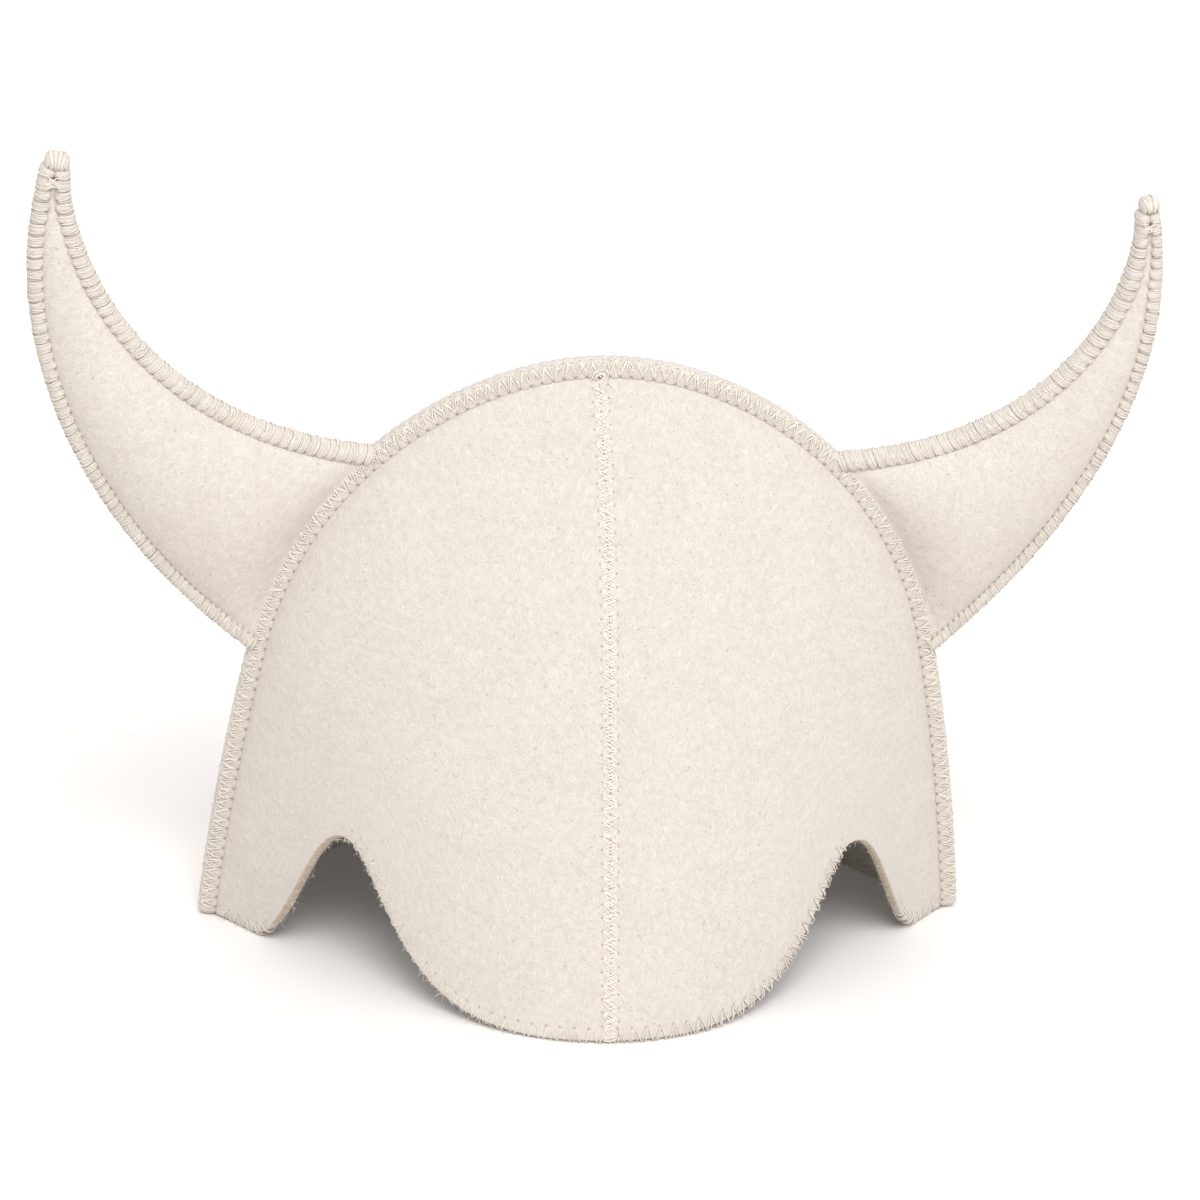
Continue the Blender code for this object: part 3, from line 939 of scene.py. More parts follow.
BARE_EDGE = (NOTCH_PLACE, 0.86)
# A leg's way: how far it runs along the brim, in pitches, and how far each of its two
# strands lies off it
HEM_REACH = 0.40
HEM_TWIN = 0.06
# How legs differ: in reach, in start, and in depth
HEM_STRAYS = (0.06, 0.05, 0.04)
# How early a leg opens out, and how near its strands lie in the hole
HEM_OPEN_POWER = 0.8
HEM_TWIN_LEAST = 0.4
HEM_WRAP = (
    # share of the hole's depth in from the cut edge, mm off the middle of the felt
    (1.00, 1.25), (0.80, 1.70), (0.45, 1.80), (0.12, 1.75), (-0.12, 1.30),
    (-0.20, 0.0), (-0.10, -1.15), (0.15, -1.72), (0.6, -1.75), (1.00, -1.25),
)


def bare_edge(share, face):
    """Where the brim has no hem: the side of each notch that is next to the arch."""
    return (face > 0) & (share > BARE_EDGE[0]) & (share < BARE_EDGE[1])


def hem_threads(face, side, stitch, rng):
    """Threads round one half of a face's brim. Each leg of a V leaves a hole, crosses the
    outer face to the cut edge, goes round it and ends in a hole of the inner face."""
    share, point, normal, inward = brim_line(face, side)
    length = path_length(point)
    count = int(length[-1] / stitch.hem_pitch)
    holes = np.arange(count)
    place = np.interp((holes + 0.5) * stitch.hem_pitch, length, share)
    holes = holes[~bare_edge(place, face)]
    hole = np.repeat(holes, 4)[:, None]
    each = hole.shape
    way = np.resize([-1.0, -1.0, 1.0, 1.0], each)
    twin = np.resize([-HEM_TWIN, HEM_TWIN], each)
    steps = np.array(HEM_WRAP)
    open_out = np.clip(np.linspace(0, 2, len(steps)), 0, 1)[None, :] ** HEM_OPEN_POWER
    reach_stray, start_stray, depth_stray = HEM_STRAYS
    spread = HEM_REACH + rng.normal(0, reach_stray, each)
    start = rng.normal(0, start_stray, each)
    phase = hole + 0.5 + start + way * spread * open_out + twin * (HEM_TWIN_LEAST + open_out)
    along = np.clip(phase * stitch.hem_pitch, 0.2 * MM, length[-1] - 0.2 * MM)
    place, up, within = [
        vectors_at(along, length, vectors) for vectors in (point, normal, inward)
    ]
    up, within = unit(up), unit(within)
    inset = steps[:, 0] * stitch.hem_depth * (1 + rng.normal(0, depth_stray, each))
    off = (steps[:, 1] * MM)[None, :, None]
    line = place + within * inset[..., None] + up * off
    line[..., 2] = np.maximum(line[..., 2], stitch.thread_diameter / 2)
    return line, unit(line - (place + within * FELT_THICKNESS / 2))


# Loose turns at the crown: how much of an ellipse each is, and its largest half axes
KNOT_TURNS = 9
KNOT_ARC = 1.4 * math.pi
KNOT_REACH = (2.6 * MM, 3.6 * MM)
KNOT_SIZES = (0.45, 1.0)
# How far above the panels' top they lie, how much a tilt flattens them, and how high they
# lie over the felt, in thread diameters, with more for a larger one
KNOT_RISE = 0.8 * MM
KNOT_FLAT = 0.4
KNOT_LIFT = (0.3, 0.4)


def crown_knot(face, stitch, rng):
    """Loose turns of thread where the centre seam meets the ridge: parts of ellipses
    that lie on whichever stands further out, the panel's felt or the ridge."""
    turn = np.linspace(0, KNOT_ARC, 2 * THREAD_STEPS)[None, :]
    start = rng.uniform(0, 2 * math.pi, (KNOT_TURNS, 1))
    tilt = rng.uniform(-1, 1, (KNOT_TURNS, 1))
    size = rng.uniform(*KNOT_SIZES, (KNOT_TURNS, 1))
    wide, tall = [size * reach for reach in KNOT_REACH]
    height = CROWN + KNOT_RISE + tall * np.sin(start + turn) * (1 - KNOT_FLAT * np.abs(tilt))
    below = np.minimum(height, CROWN - 0.2 * MM)
    across = seam_sway(below, face) + wide * np.cos(start + turn + tilt)
    out = np.maximum(forward(0.0, below) + FELT_THICKNESS / 2, RIDGE_HALF_DEPTH)
    lift = stitch.thread_diameter * (KNOT_LIFT[0] + KNOT_LIFT[1] * size)
    line = np.stack([across, -out - lift + 0 * turn, height], -1)
    up = np.broadcast_to(np.array([0.0, -1.0, 0.0]), line.shape)
    return line, up


# Loose fibres

FIBRE_STEPS = 4
FIBRE_RADIUS = 0.055 * MM
# How far a fibre's direction and its bend stray, and its length as shares of the mean
FIBRE_LEAN = 0.7
FIBRE_BEND = 0.6
FIBRE_SIZES = (0.4, 1.6)
# How far round an edge's crest fibres grow (radians), how far they stray beside the seam,
# and how they lean: off the brim's edge, and off the felt and up at the seam
EDGE_ROUND = 1.4
SEAM_STRAY = 2.2 * MM
BRIM_LEAN = 0.8
SEAM_FIBRE_LEAN = (0.5, 0.8)


def fibres(place, away, length, rng):
    """Loose wool fibres: short lines that leave a place, lean away from the felt and
    bend, so that they run as a sum of a straight and a squared share of their length."""
    count = len(place)
    lean = unit(away + rng.normal(0, FIBRE_LEAN, (count, 3)))
    curl = rng.normal(0, FIBRE_BEND, (count, 3))
    size = length * rng.uniform(*FIBRE_SIZES, (count, 1, 1))
    share = np.linspace(0, 1, FIBRE_STEPS)[None, :, None]
    line = place[:, None] + size * (lean[:, None] * share + curl[:, None] * share**2)
    line[..., 2] = np.maximum(line[..., 2], FIBRE_RADIUS)
    ups = np.broadcast_to(unit(rng.normal(0, 1, (count, 1, 3))), line.shape)
    return line, ups


def brim_fibres(face, side, count, length, rng):
    """Fibres round one half of a face's brim, from all over its cut edge."""
    _, point, normal, inward = brim_line(face, side)
    at = rng.integers(2, len(point), count)
    outer = rng.uniform(-1, 1, (count, 1))
    place = point[at] + normal[at] * (outer * FELT_THICKNESS / 2)
    return fibres(place, normal[at] * outer - inward[at] * BRIM_LEAN, length, rng)


def edge_fibres(edge, count, length, rng):
    """Fibres on the outer side of a sewn edge."""
    along = rng.uniform(0.01, 0.99, count) * edge.length[-1]
    place, up = edge.point(along, rng.uniform(-EDGE_ROUND, EDGE_ROUND, count))
    return fibres(place, up, length, rng)


def seam_fibres(count, length, rng):
    """Fibres beside the front centre seam."""
    point, normal = seam_line(1.0)
    at = rng.integers(0, len(point) - 8, count)
    place = point[at] + normal[at] * FELT_THICKNESS / 2
    place[:, 0] += rng.normal(0, SEAM_STRAY, count)
    out, up = SEAM_FIBRE_LEAN
    return fibres(place, normal[at] * out + [0, 0, up], length, rng)


# Materials


def srgb(code):
    """A linear colour with alpha of an sRGB hex code such as #F4ECE0."""
    share = np.array([int(code[at:at + 2], 16) / 255 for at in (1, 3, 5)])
    linear = np.where(share <= 0.04045, share / 12.92, ((share + 0.055) / 1.055) ** 2.4)
    return (*linear.tolist(), 1.0)


def add(tree, kind, inputs=(), **settings):
    """Adds a shader node with its settings. inputs gives its sockets a value or another
    node's output each, by name or number, or in order from the first one on."""
    made = tree.nodes.new(f"ShaderNode{kind}")
    for name, value in settings.items():
        setattr(made, name, value)
    named = inputs if isinstance(inputs, dict) else dict(enumerate(inputs))
    for name, value in named.items():
        if isinstance(value, bpy.types.NodeSocket):
            tree.links.new(value, made.inputs[name])
        else:
            made.inputs[name].default_value = value
    return made


def fresh_material(name, constants):
    """A new material's node tree and its shader, with constants on the shader."""
    material = bpy.data.materials.new(name)
    material.use_nodes = True
    shader = material.node_tree.nodes["Principled BSDF"]
    for socket, value in constants.items():
        shader.inputs[socket].default_value = value
    return material, material.node_tree, shader


# A hole's painted shade is darkest over this share of its radius
HOLE_CORE = 0.3


def needle_hole_shade(tree, uv, pitch, row, unit_mm, lag, depth, reach=0.58):
    """Share of painted shade round the needle holes of one row, which felt_material also
    sinks in the bump: depth in the holes and 0 at reach (mm). They lie where the map's u,
    less lag, is a half past a whole number and its v is row, and unit_mm is the size of
    one unit of v. A pitch of 0 gives one long line of painted shade along a crease."""
    apart = add(tree, "SeparateXYZ", [uv]).outputs
    phase = add(tree, "Math", [apart[0], lag], operation="SUBTRACT").outputs[0]
    phase = add(tree, "Math", [phase], operation="FRACT").outputs[0]
    beside = add(tree, "Math", [phase, 0.5], operation="SUBTRACT").outputs[0]
    beside = add(tree, "Math", [beside, pitch], operation="MULTIPLY").outputs[0]
    above = add(tree, "Math", [apart[1], row], operation="SUBTRACT").outputs[0]
    above = add(tree, "Math", [above, unit_mm], operation="MULTIPLY").outputs[0]
    away = add(tree, "CombineXYZ", [beside, above]).outputs[0]
    away = add(tree, "VectorMath", [away], operation="LENGTH").outputs["Value"]
    return add(tree, "MapRange", {
        "Value": away, "From Min": reach, "From Max": HOLE_CORE * reach, "To Max": depth,
    }, interpolation_type="SMOOTHSTEP").outputs[0]


FIBRE_LAYERS = (
    # turn (degrees), width and length of a fibre (mm), brightness
    (8.0, 0.19, 2.0, 1.00),
    (37.0, 0.22, 2.6, 0.62),
    (69.0, 0.18, 1.9, 0.80),
    (96.0, 0.22, 2.4, 0.55),
    (131.0, 0.19, 2.2, 0.90),
    (158.0, 0.21, 2.7, 0.70),
)
# The noise at which a fibre starts to show and is full
FIBRE_NOISE = (0.54, 0.80)
# Size and amount of the fibres' curl, both mm, and how unlike the layers' curls are
CURL_SIZE = 2.8
CURL = 1.3
CURL_STEP = 3.7
# Clouds of thicker wool: size (mm) and strength
CLOUDS = ((14.0, 0.24), (2.0, 0.44))
# Flecks of darker wool: size (mm), the noise at which they start and are full, darkness
FLECKS = (0.9, 0.66, 0.76, 0.40)
FLECK_PLACE = 5.0
# Tone from dark to light wool: how much a fibre adds, and what there is without one
TONE = (0.55, 0.34)
# How high clouds stand and how deep holes lie, as shares of a fibre's height
CLOUD_HEIGHT = 0.8
HOLE_DEPTH = 1.5
BUMP_STRENGTH = 0.4
FELT_BUMP = 0.12 * MM
# Where the colour of a cut starts and is full, in mm from the cut edge, and how it fades
# where a fibre shows
CUT_EDGE = (0.65, 0.25)
CUT_TONE = (-0.6, 0.85)


def fibre_pattern(tree, cloth):
    """How far a fibre shows at a place: the strongest of several layers of noise, each
    turned, drawn out to a fibre's width and length, and curled by a slower noise."""
    seen = None
    for number, (turn, width, length, strength) in enumerate(FIBRE_LAYERS):
        curl = add(tree, "TexNoise", {
            "Vector": cloth, "W": number * CURL_STEP, "Scale": 1 / CURL_SIZE, "Detail": 1.0,
        }, noise_dimensions="4D").outputs["Color"]
        curled = add(tree, "VectorMath", [curl, (2 * CURL,) * 3, cloth],
                     operation="MULTIPLY_ADD").outputs[0]
        rotated = add(tree, "Mapping", {
            "Vector": curled, "Rotation": (0, 0, math.radians(turn)),
            "Location": (turn, turn / 3, 0),
        }).outputs[0]
        drawn = add(tree, "Mapping", {
            "Vector": rotated, "Scale": (0.5 / width, 0.5 / length, 1),
        }).outputs[0]
        noise = add(tree, "TexNoise", {
            "Vector": drawn, "Scale": 1.0, "Detail": 0.0,
        }, noise_dimensions="2D").outputs[0]
        layer = add(tree, "MapRange", {
            "Value": noise, "From Min": FIBRE_NOISE[0], "From Max": FIBRE_NOISE[1],
            "To Max": strength,
        }, interpolation_type="SMOOTHSTEP").outputs[0]
        if seen:
            layer = add(tree, "Math", [seen, layer], operation="MAXIMUM").outputs[0]
        seen = layer
    return seen


def cloud_pattern(tree, cloth):
    """Thicker and thinner wool: the sum of noises about 0, each times its strength."""
    cloud = None
    for size, strength in CLOUDS:
        noise = add(tree, "TexNoise", {
            "Vector": cloth, "Scale": 1 / size, "Detail": 3.0,
        }, noise_dimensions="2D").outputs[0]
        part = add(tree, "Math", [noise, 0.5], operation="SUBTRACT").outputs[0]
        part = add(tree, "Math", [part, strength], operation="MULTIPLY").outputs[0]
        if cloud:
            part = add(tree, "Math", [cloud, part], operation="ADD").outputs[0]
        cloud = part
    return cloud


def fleck_pattern(tree, cloth):
    """Flecks of darker wool, where a noise is high."""
    size, start, full, strength = FLECKS
    noise = add(tree, "TexNoise", {
        "Vector": cloth, "W": FLECK_PLACE, "Scale": 1 / size, "Detail": 1.0,
    }, noise_dimensions="4D").outputs[0]
    return add(tree, "MapRange", {
        "Value": noise, "From Min": start, "From Max": full, "To Max": strength,
    }, interpolation_type="SMOOTHSTEP").outputs[0]


def hole_shade_pattern(tree, rows):
    """The darkest painted shade of several rows of needle holes, also their sunk depth: their
    maps and needle_hole_shade's values.
    """
    holes = None
    for map_name, *values in rows:
        uv = add(tree, "UVMap", uv_map=map_name).outputs[0]
        row = needle_hole_shade(tree, uv, *values)
        if holes:
            row = add(tree, "Math", [holes, row], operation="MAXIMUM").outputs[0]
        holes = row
    return holes


def cut_pattern(tree, seen):
    """Where the cut of the brim shows, under its hem or bare, less where a fibre lies
    over it."""
    uv = add(tree, "UVMap", uv_map="hem").outputs[0]
    inset = add(tree, "SeparateXYZ", [uv]).outputs[1]
    inset = add(tree, "Math", [inset, BARE_OFFSET], operation="MODULO").outputs[0]
    edge = add(tree, "MapRange", {
        "Value": inset, "From Min": CUT_EDGE[0], "From Max": CUT_EDGE[1],
    }, interpolation_type="SMOOTHSTEP").outputs[0]
    clear = add(tree, "Math", [seen, *CUT_TONE], operation="MULTIPLY_ADD").outputs[0]
    return add(tree, "Math", [edge, clear], operation="MULTIPLY").outputs[0]


def felt_material(name, light, dark, hole, rows=(), cut=None):
    """Needled wool felt. It is matt, and short curled fibres lie every way over faint
    clouds of thicker and thinner wool, with a few darker flecks. The fibres are drawn
    about ten times as wide as wool, so that they show. rows are needle_hole_shade's
    values, which paint shade into needle holes and creases with the hole colour, the
    flecks' colour too, and cut is the browner colour of a cut edge, which shows the
    felt's coarser middle."""
    material, tree, shader = fresh_material(name, {
        "Roughness": 0.95, "Sheen Weight": 0.15, "Sheen Roughness": 0.6,
        "Specular IOR Level": 0.1,
    })
    metres = add(tree, "UVMap", uv_map="cloth").outputs[0]
    cloth = add(tree, "VectorMath", {0: metres, 3: 1 / MM}, operation="SCALE").outputs[0]
    seen = fibre_pattern(tree, cloth)
    cloud = cloud_pattern(tree, cloth)
    tone = add(tree, "Math", [seen, *TONE], operation="MULTIPLY_ADD").outputs[0]
    tone = add(tree, "Math", [tone, cloud], operation="ADD").outputs[0]
    raised = add(tree, "Math", [cloud, CLOUD_HEIGHT], operation="MULTIPLY").outputs[0]
    height = add(tree, "Math", [seen, raised], operation="ADD").outputs[0]
    layers = [(tone, light), (fleck_pattern(tree, cloth), hole)]
    # Painted shade: needle holes and creases are darkened with the hole colour, and sunk in the
    # bump
    if rows:
        holes = hole_shade_pattern(tree, rows)
        layers.append((holes, hole))
        sunk = add(tree, "Math", [holes, HOLE_DEPTH], operation="MULTIPLY").outputs[0]
        height = add(tree, "Math", [height, sunk], operation="SUBTRACT").outputs[0]
    if cut:
        layers.append((cut_pattern(tree, seen), cut))
    colour = dark
    for factor, over in layers:
        colour = add(tree, "Mix", {
            "Factor": factor, "A": colour, "B": over,
        }, data_type="RGBA").outputs["Result"]
    bump = add(tree, "Bump", {
        "Height": height, "Strength": BUMP_STRENGTH, "Distance": FELT_BUMP,
    }).outputs[0]
    tree.links.new(colour, shader.inputs["Base Color"])
    tree.links.new(bump, shader.inputs["Normal"])
    return material


def fibre_material(name, colour):
    """Single wool fibres that stand off the felt: pale, with a soft sheen. They are
    drawn about three times as thick as wool, so that they show."""
    material, tree, shader = fresh_material(name, {
        "Roughness": 0.7, "Sheen Weight": 0.2, "Specular IOR Level": 0.3,
    })
    uv = add(tree, "UVMap", uv_map="thread").outputs[0]
    shade = add(tree, "TexNoise", {
        "Vector": uv, "Scale": 1 / (2 * MM), "Detail": 0.0,
    }, noise_dimensions="2D").outputs[0]
    level = add(tree, "MapRange", {"Value": shade, "To Min": 0.9, "To Max": 1.08}).outputs[0]
    toned = add(tree, "Mix", {
        "Factor": 1.0, "A": colour, "B": level,
    }, data_type="RGBA", blend_type="MULTIPLY").outputs["Result"]
    tree.links.new(toned, shader.inputs["Base Color"])
    return material


# Thread: length of one twist (mm), how many strands are twisted, and how high they stand
TWIST = 0.9
STRANDS = 2.0
THREAD_BUMP = 0.05 * MM
# Shares of the colour that come from painted shade between the twisted strands, lighter on their
# crests, and from slow changes of tone along the thread
THREAD_SHADE_AND_TONE = (0.45, 0.55)


def thread_material(name, light, dark):
    """Twisted cotton thread: a soft gloss, and slanting strands that repeat every
    TWIST millimetres, coarser than real so that they show, with painted shade between them."""
    material, tree, shader = fresh_material(name, {
        "Roughness": 0.55, "Sheen Weight": 0.1, "Specular IOR Level": 0.4,
    })
    uv = add(tree, "UVMap", uv_map="thread").outputs[0]
    apart = add(tree, "SeparateXYZ", [uv]).outputs
    turns = add(tree, "Math", [apart[1], 1 / (TWIST * MM)], operation="MULTIPLY").outputs[0]
    around = add(tree, "Math", [apart[0], STRANDS], operation="MULTIPLY").outputs[0]
    phase = add(tree, "Math", [around, turns], operation="ADD").outputs[0]
    phase = add(tree, "Math", [phase, 2 * math.pi], operation="MULTIPLY").outputs[0]
    wave = add(tree, "Math", [phase], operation="SINE").outputs[0]
    ply_shade_and_height = add(tree, "Math", [wave, 0.5, 0.5], operation="MULTIPLY_ADD").outputs[0]
    slow = add(tree, "TexNoise", {
        "Vector": uv, "Scale": 1 / (3 * MM), "Detail": 1.0,
    }, noise_dimensions="2D").outputs[0]
    slow = add(tree, "Math", [slow, THREAD_SHADE_AND_TONE[1]], operation="MULTIPLY").outputs[0]
    tone = add(tree, "Math", [ply_shade_and_height, THREAD_SHADE_AND_TONE[0], slow], operation="MULTIPLY_ADD").outputs[0]
    # Painted shade: the twist wave darkens the thread between its strands
    colour = add(tree, "Mix", {
        "Factor": tone, "A": dark, "B": light,
    }, data_type="RGBA").outputs["Result"]
    bump = add(tree, "Bump", {
        "Height": ply_shade_and_height, "Strength": BUMP_STRENGTH, "Distance": THREAD_BUMP,
    }).outputs[0]
    tree.links.new(colour, shader.inputs["Base Color"])
    tree.links.new(bump, shader.inputs["Normal"])
    return material


FLOOR_GLOW = 0.06


def floor_material(name, colour):
    """Matt white acrylic, lit a little from below: no gloss, and a very faint grain."""
    material, tree, shader = fresh_material(name, {
        "Roughness": 1.0, "Specular IOR Level": 0.0, "Emission Color": colour,
        "Emission Strength": FLOOR_GLOW,
    })
    where = add(tree, "TexCoord").outputs["Object"]
    grain = add(tree, "TexNoise", {"Vector": where, "Scale": 900.0}).outputs[0]
    level = add(tree, "MapRange", {"Value": grain, "To Min": 0.995, "To Max": 1.005}).outputs[0]
    tinted = add(tree, "Mix", {
        "Factor": 1.0, "A": colour, "B": level,
    }, data_type="RGBA", blend_type="MULTIPLY").outputs["Result"]
    tree.links.new(tinted, shader.inputs["Base Color"])
    return material


def look(name, make, *values):
    """The material of that name, made if it isn't there yet."""
    return bpy.data.materials.get(name) or make(name, *values)


# Sizes and colours a user would change


def size_property(name, description, default):
    """A length in metres that a user can set."""
    return bpy.props.FloatProperty(
        name=name, description=description, default=default, min=0.0, unit="LENGTH",
        precision=5,
    )


def share_property(name, description, default, high=1.0):
    """A share or a factor from 0 to high that a user can set."""
    return bpy.props.FloatProperty(
        name=name, description=description, default=default, min=0.0, max=high,
        subtype="FACTOR",
    )


def colour_property(name, description, code):
    """A colour that a user can set, from an sRGB hex code."""
    return bpy.props.FloatVectorProperty(
        name=name, description=description, default=srgb(code), size=4, min=0.0, max=1.0,
        subtype="COLOR",
    )


class FeltSizes(bpy.types.PropertyGroup):
    """Felt of the panels and the horns."""

    thickness: size_property("Thickness", "How thick the felt is", FELT_THICKNESS)
    horn_puff: share_property(
        "Horn puff", "How far a horn's face stands out, as a share of its half width",
        HORN_PUFF)
    horn_puff_power: share_property(
        "Horn puff power", "How steeply the face leaves the sewn edges", HORN_PUFF_POWER, 4.0)
    light: colour_property("Light wool", "Lightest fibres", "#D3CDC6")
    dark: colour_property("Dark wool", "Darkest fibres", "#BBB2A9")
    horn_light: colour_property("Light horn wool", "Lightest fibres of a horn", "#D5CFC8")
    horn_dark: colour_property("Dark horn wool", "Darkest fibres of a horn", "#BDB4AB")
    # Colour of the darker wool flecks, and of the painted shade in needle holes and creases
    hole: colour_property("Needle hole", "Colour down in a needle hole", "#8A745C")
    cut: colour_property("Cut edge", "Colour of the felt's middle, seen on a cut", "#B09A7C")
    fibre: colour_property("Loose fibre", "Fibres that stand off the felt", "#E2DCD4")


class StitchSizes(bpy.types.PropertyGroup):
    """Threads that join the felt."""

    thread_diameter: size_property("Thread", "Thickness of the thread", 0.44 * MM)
    hem_thread: size_property("Hem thread", "Thickness of the thread of the brim", 0.34 * MM)
    seam_pitch: size_property("Seam pitch", "Distance between holes of a centre seam", 4.0 * MM)
    seam_width: size_property("Seam width", "Distance between its two rows", 4.6 * MM)
    hem_pitch: size_property("Hem pitch", "Distance between holes along the brim", 4.2 * MM)
    hem_depth: size_property("Hem depth", "Distance of a hole from the cut edge", 3.6 * MM)
    ridge_pitch: size_property("Ridge pitch", "Stitch length along the arch", 3.4 * MM)
    horn_pitch: size_property("Horn pitch", "Distance between beads of a horn's edge", 3.05 * MM)
    # Painted shade: the thread is dark between its twisted strands and light on their crests
    light: colour_property("Light thread", "Crest of the thread", "#E6DFD5")
    dark: colour_property("Dark thread", "Between the twisted strands", "#CEC5B8")


class StageLook(bpy.types.PropertyGroup):
    """Floor, lights and camera."""

    floor: colour_property("Floor", "Colour of the backdrop", "#E7E3E1")
    sky: share_property("Sky", "Strength of the even light from all round", 0.75, 4.0)
    key: bpy.props.FloatProperty(
        name="Lamps", description="Power of which each large soft lamp has its share",
        default=34.0, min=0.0, subtype="POWER")
    distance: size_property("Distance", "Camera to the middle of the hat", 1.3)
    lens: bpy.props.FloatProperty(
        name="Lens", description="Focal length of the camera", default=127.94, min=1.0,
        subtype="DISTANCE_CAMERA")
    azimuth: bpy.props.FloatProperty(
        name="Azimuth", description="How far the camera stands to the hat's left",
        default=math.radians(7.57), subtype="ANGLE")
    elevation: bpy.props.FloatProperty(
        name="Elevation", description="How far the camera looks down",
        default=math.radians(23.77), subtype="ANGLE")
    roll: bpy.props.FloatProperty(
        name="Roll", description="Turn of the camera about its view line",
        default=math.radians(2.92), subtype="ANGLE")


# Operators: one for each kind of piece

# How far round its roll a row of holes, a crease or dimples lies (degrees), each with painted
# shade
CREST_ROW = math.degrees(RIDGE_HOLES[1])
BASE_ROW = math.degrees(RIDGE_HOLES[0]) + 6.0
CREASE_SHADE_ROW = BASE_ROW + 9.0
HORN_ROW = math.degrees(HORN_HOLES)
HORN_CREASE_SHADE_ROW = HORN_ROW + 14.0
HORN_DIMPLE_SHADE_ROW = 28.0
# Size of a degree (mm) round the ridge and round a horn's edge, which is 2.4 mm in radius
RIDGE_DEGREE = math.radians(RIDGE_HALF_HEIGHT / MM)
HORN_DEGREE = math.radians(2.4)


def panel_felt(felt, stitch):
    """Felt of the panels, with painted shade in the needle holes of the centre seam and the
    brim.
    """
    seam, hem = stitch.seam_pitch / MM, stitch.hem_pitch / MM
    return look("needled wool felt of the panels", felt_material, felt.light, felt.dark,
                felt.hole, (
                    # map, pitch (mm), row, mm in one unit of v, lag, depth, reach (mm)
                    ("seam", seam, stitch.seam_width / 2 / MM, 1.0, 0.0, 0.6),
                    ("hem", hem, stitch.hem_depth / MM, 1.0, 0.0, 0.5),
                ), felt.cut)


def ridge_felt(felt, stitch):
    """Felt of the arch's ridge, with painted shade in holes at its base and crest and along a
    crease below.
    """
    pitch = stitch.ridge_pitch / MM
    return look("rolled wool felt of the arch", felt_material, felt.light, felt.dark,
                felt.hole, (
                    ("round", pitch, BASE_ROW, RIDGE_DEGREE, 0.5, 0.68, 0.8),
                    # Painted shade line along the crease under the ridge
                    ("round", 0.0, CREASE_SHADE_ROW, RIDGE_DEGREE, 0.0, 0.22, 0.9),
                    ("round", pitch, CREST_ROW, RIDGE_DEGREE, 0.0, 0.6),
                ))


def horn_felt(felt):
    """Felt of the horn faces."""
    return look("needled wool felt of the horns", felt_material, felt.horn_light,
                felt.horn_dark, felt.hole)


def horn_edge_felt(felt, stitch):
    """Felt of the horns' rolled edges, with painted shade in holes, along a crease and in
    dimples on their outer side.
    """
    pitch = stitch.horn_pitch / MM
    return look("beaded wool felt of the horn edges", felt_material, felt.horn_light,
                felt.horn_dark, felt.hole, (
                    ("round", pitch, HORN_ROW, HORN_DEGREE, 0.5, 0.8, 0.8),
                    # Painted shade along the crease and in the dimples of the horn edges
                    ("round", 0.0, HORN_CREASE_SHADE_ROW, HORN_DEGREE, 0.0, 0.24, 0.9),
                    ("round", pitch, HORN_DIMPLE_SHADE_ROW, HORN_DEGREE, 0.5, 0.3),
                ))


def cotton(stitch):
    """The thread of all seams."""
    return look("twisted cotton thread", thread_material, stitch.light, stitch.dark)


# Seeds of the random draws. The pieces of felt count on from theirs.
SEEDS = {
    "panels": 11, "horns": 31, "horn threads": 101, "arch threads": 53,
    "centre seams": 71, "brim threads": 83, "fibres": 97,
}


def own_seed(what, face, side):
    """A seed of its own for each of four felt pieces."""
    return SEEDS[what] + 2 * int(face > 0) + 4 * int(side > 0)


# Mesh of a sewn edge: rings for each stitch, points in each ring, length of a rounded end
RIDGE_MESH = (8, 24, 2.6 * MM)
HORN_MESH = (12, 24, 0.6 * MM)
TIP_MESH = (12, 24, 1.6 * MM)


class HAT_OT_ridge(bpy.types.Operator):
    """Build the raised seam of the arch"""

    bl_idname = "hat.build_ridge"
    bl_label = "Arch ridge"

    def execute(self, context):
        felt, stitch = context.scene.hat_felt, context.scene.hat_stitch
        points, faces, maps = arch_ridge(stitch.ridge_pitch).mesh(*RIDGE_MESH)
        piece = make_piece("arch_ridge", points, faces, ridge_felt(felt, stitch), maps=maps)
        fit_out(piece)
        return {"FINISHED"}


class HAT_OT_panels(bpy.types.Operator):
    """Build the four felt panels"""

    bl_idname = "hat.build_panels"
    bl_label = "Felt panels"

    def execute(self, context):
        felt, stitch = context.scene.hat_felt, context.scene.hat_stitch
        for face_name, face in FACES:
            for side_name, side in SIDES:
                node = f"{face_name}_{side_name}_panel"
                piece = panel_piece(f"felt_{node}", face, side, own_seed("panels", face, side),
                                    felt, stitch, panel_felt(felt, stitch))
                fit_out(piece, [node])
        return {"FINISHED"}


class HAT_OT_horns(bpy.types.Operator):
    """Build the felt faces of both horns"""

    bl_idname = "hat.build_horns"
    bl_label = "Horn faces"

    def execute(self, context):
        felt = context.scene.hat_felt
        for side_name, side in SIDES:
            for face_name, face in FACES:
                node = f"{side_name}_horn_{face_name}"
                piece = horn_face(f"felt_{node}", side_name, face, side,
                                  own_seed("horns", face, side), felt, horn_felt(felt))
                fit_out(piece, [node])
        return {"FINISHED"}


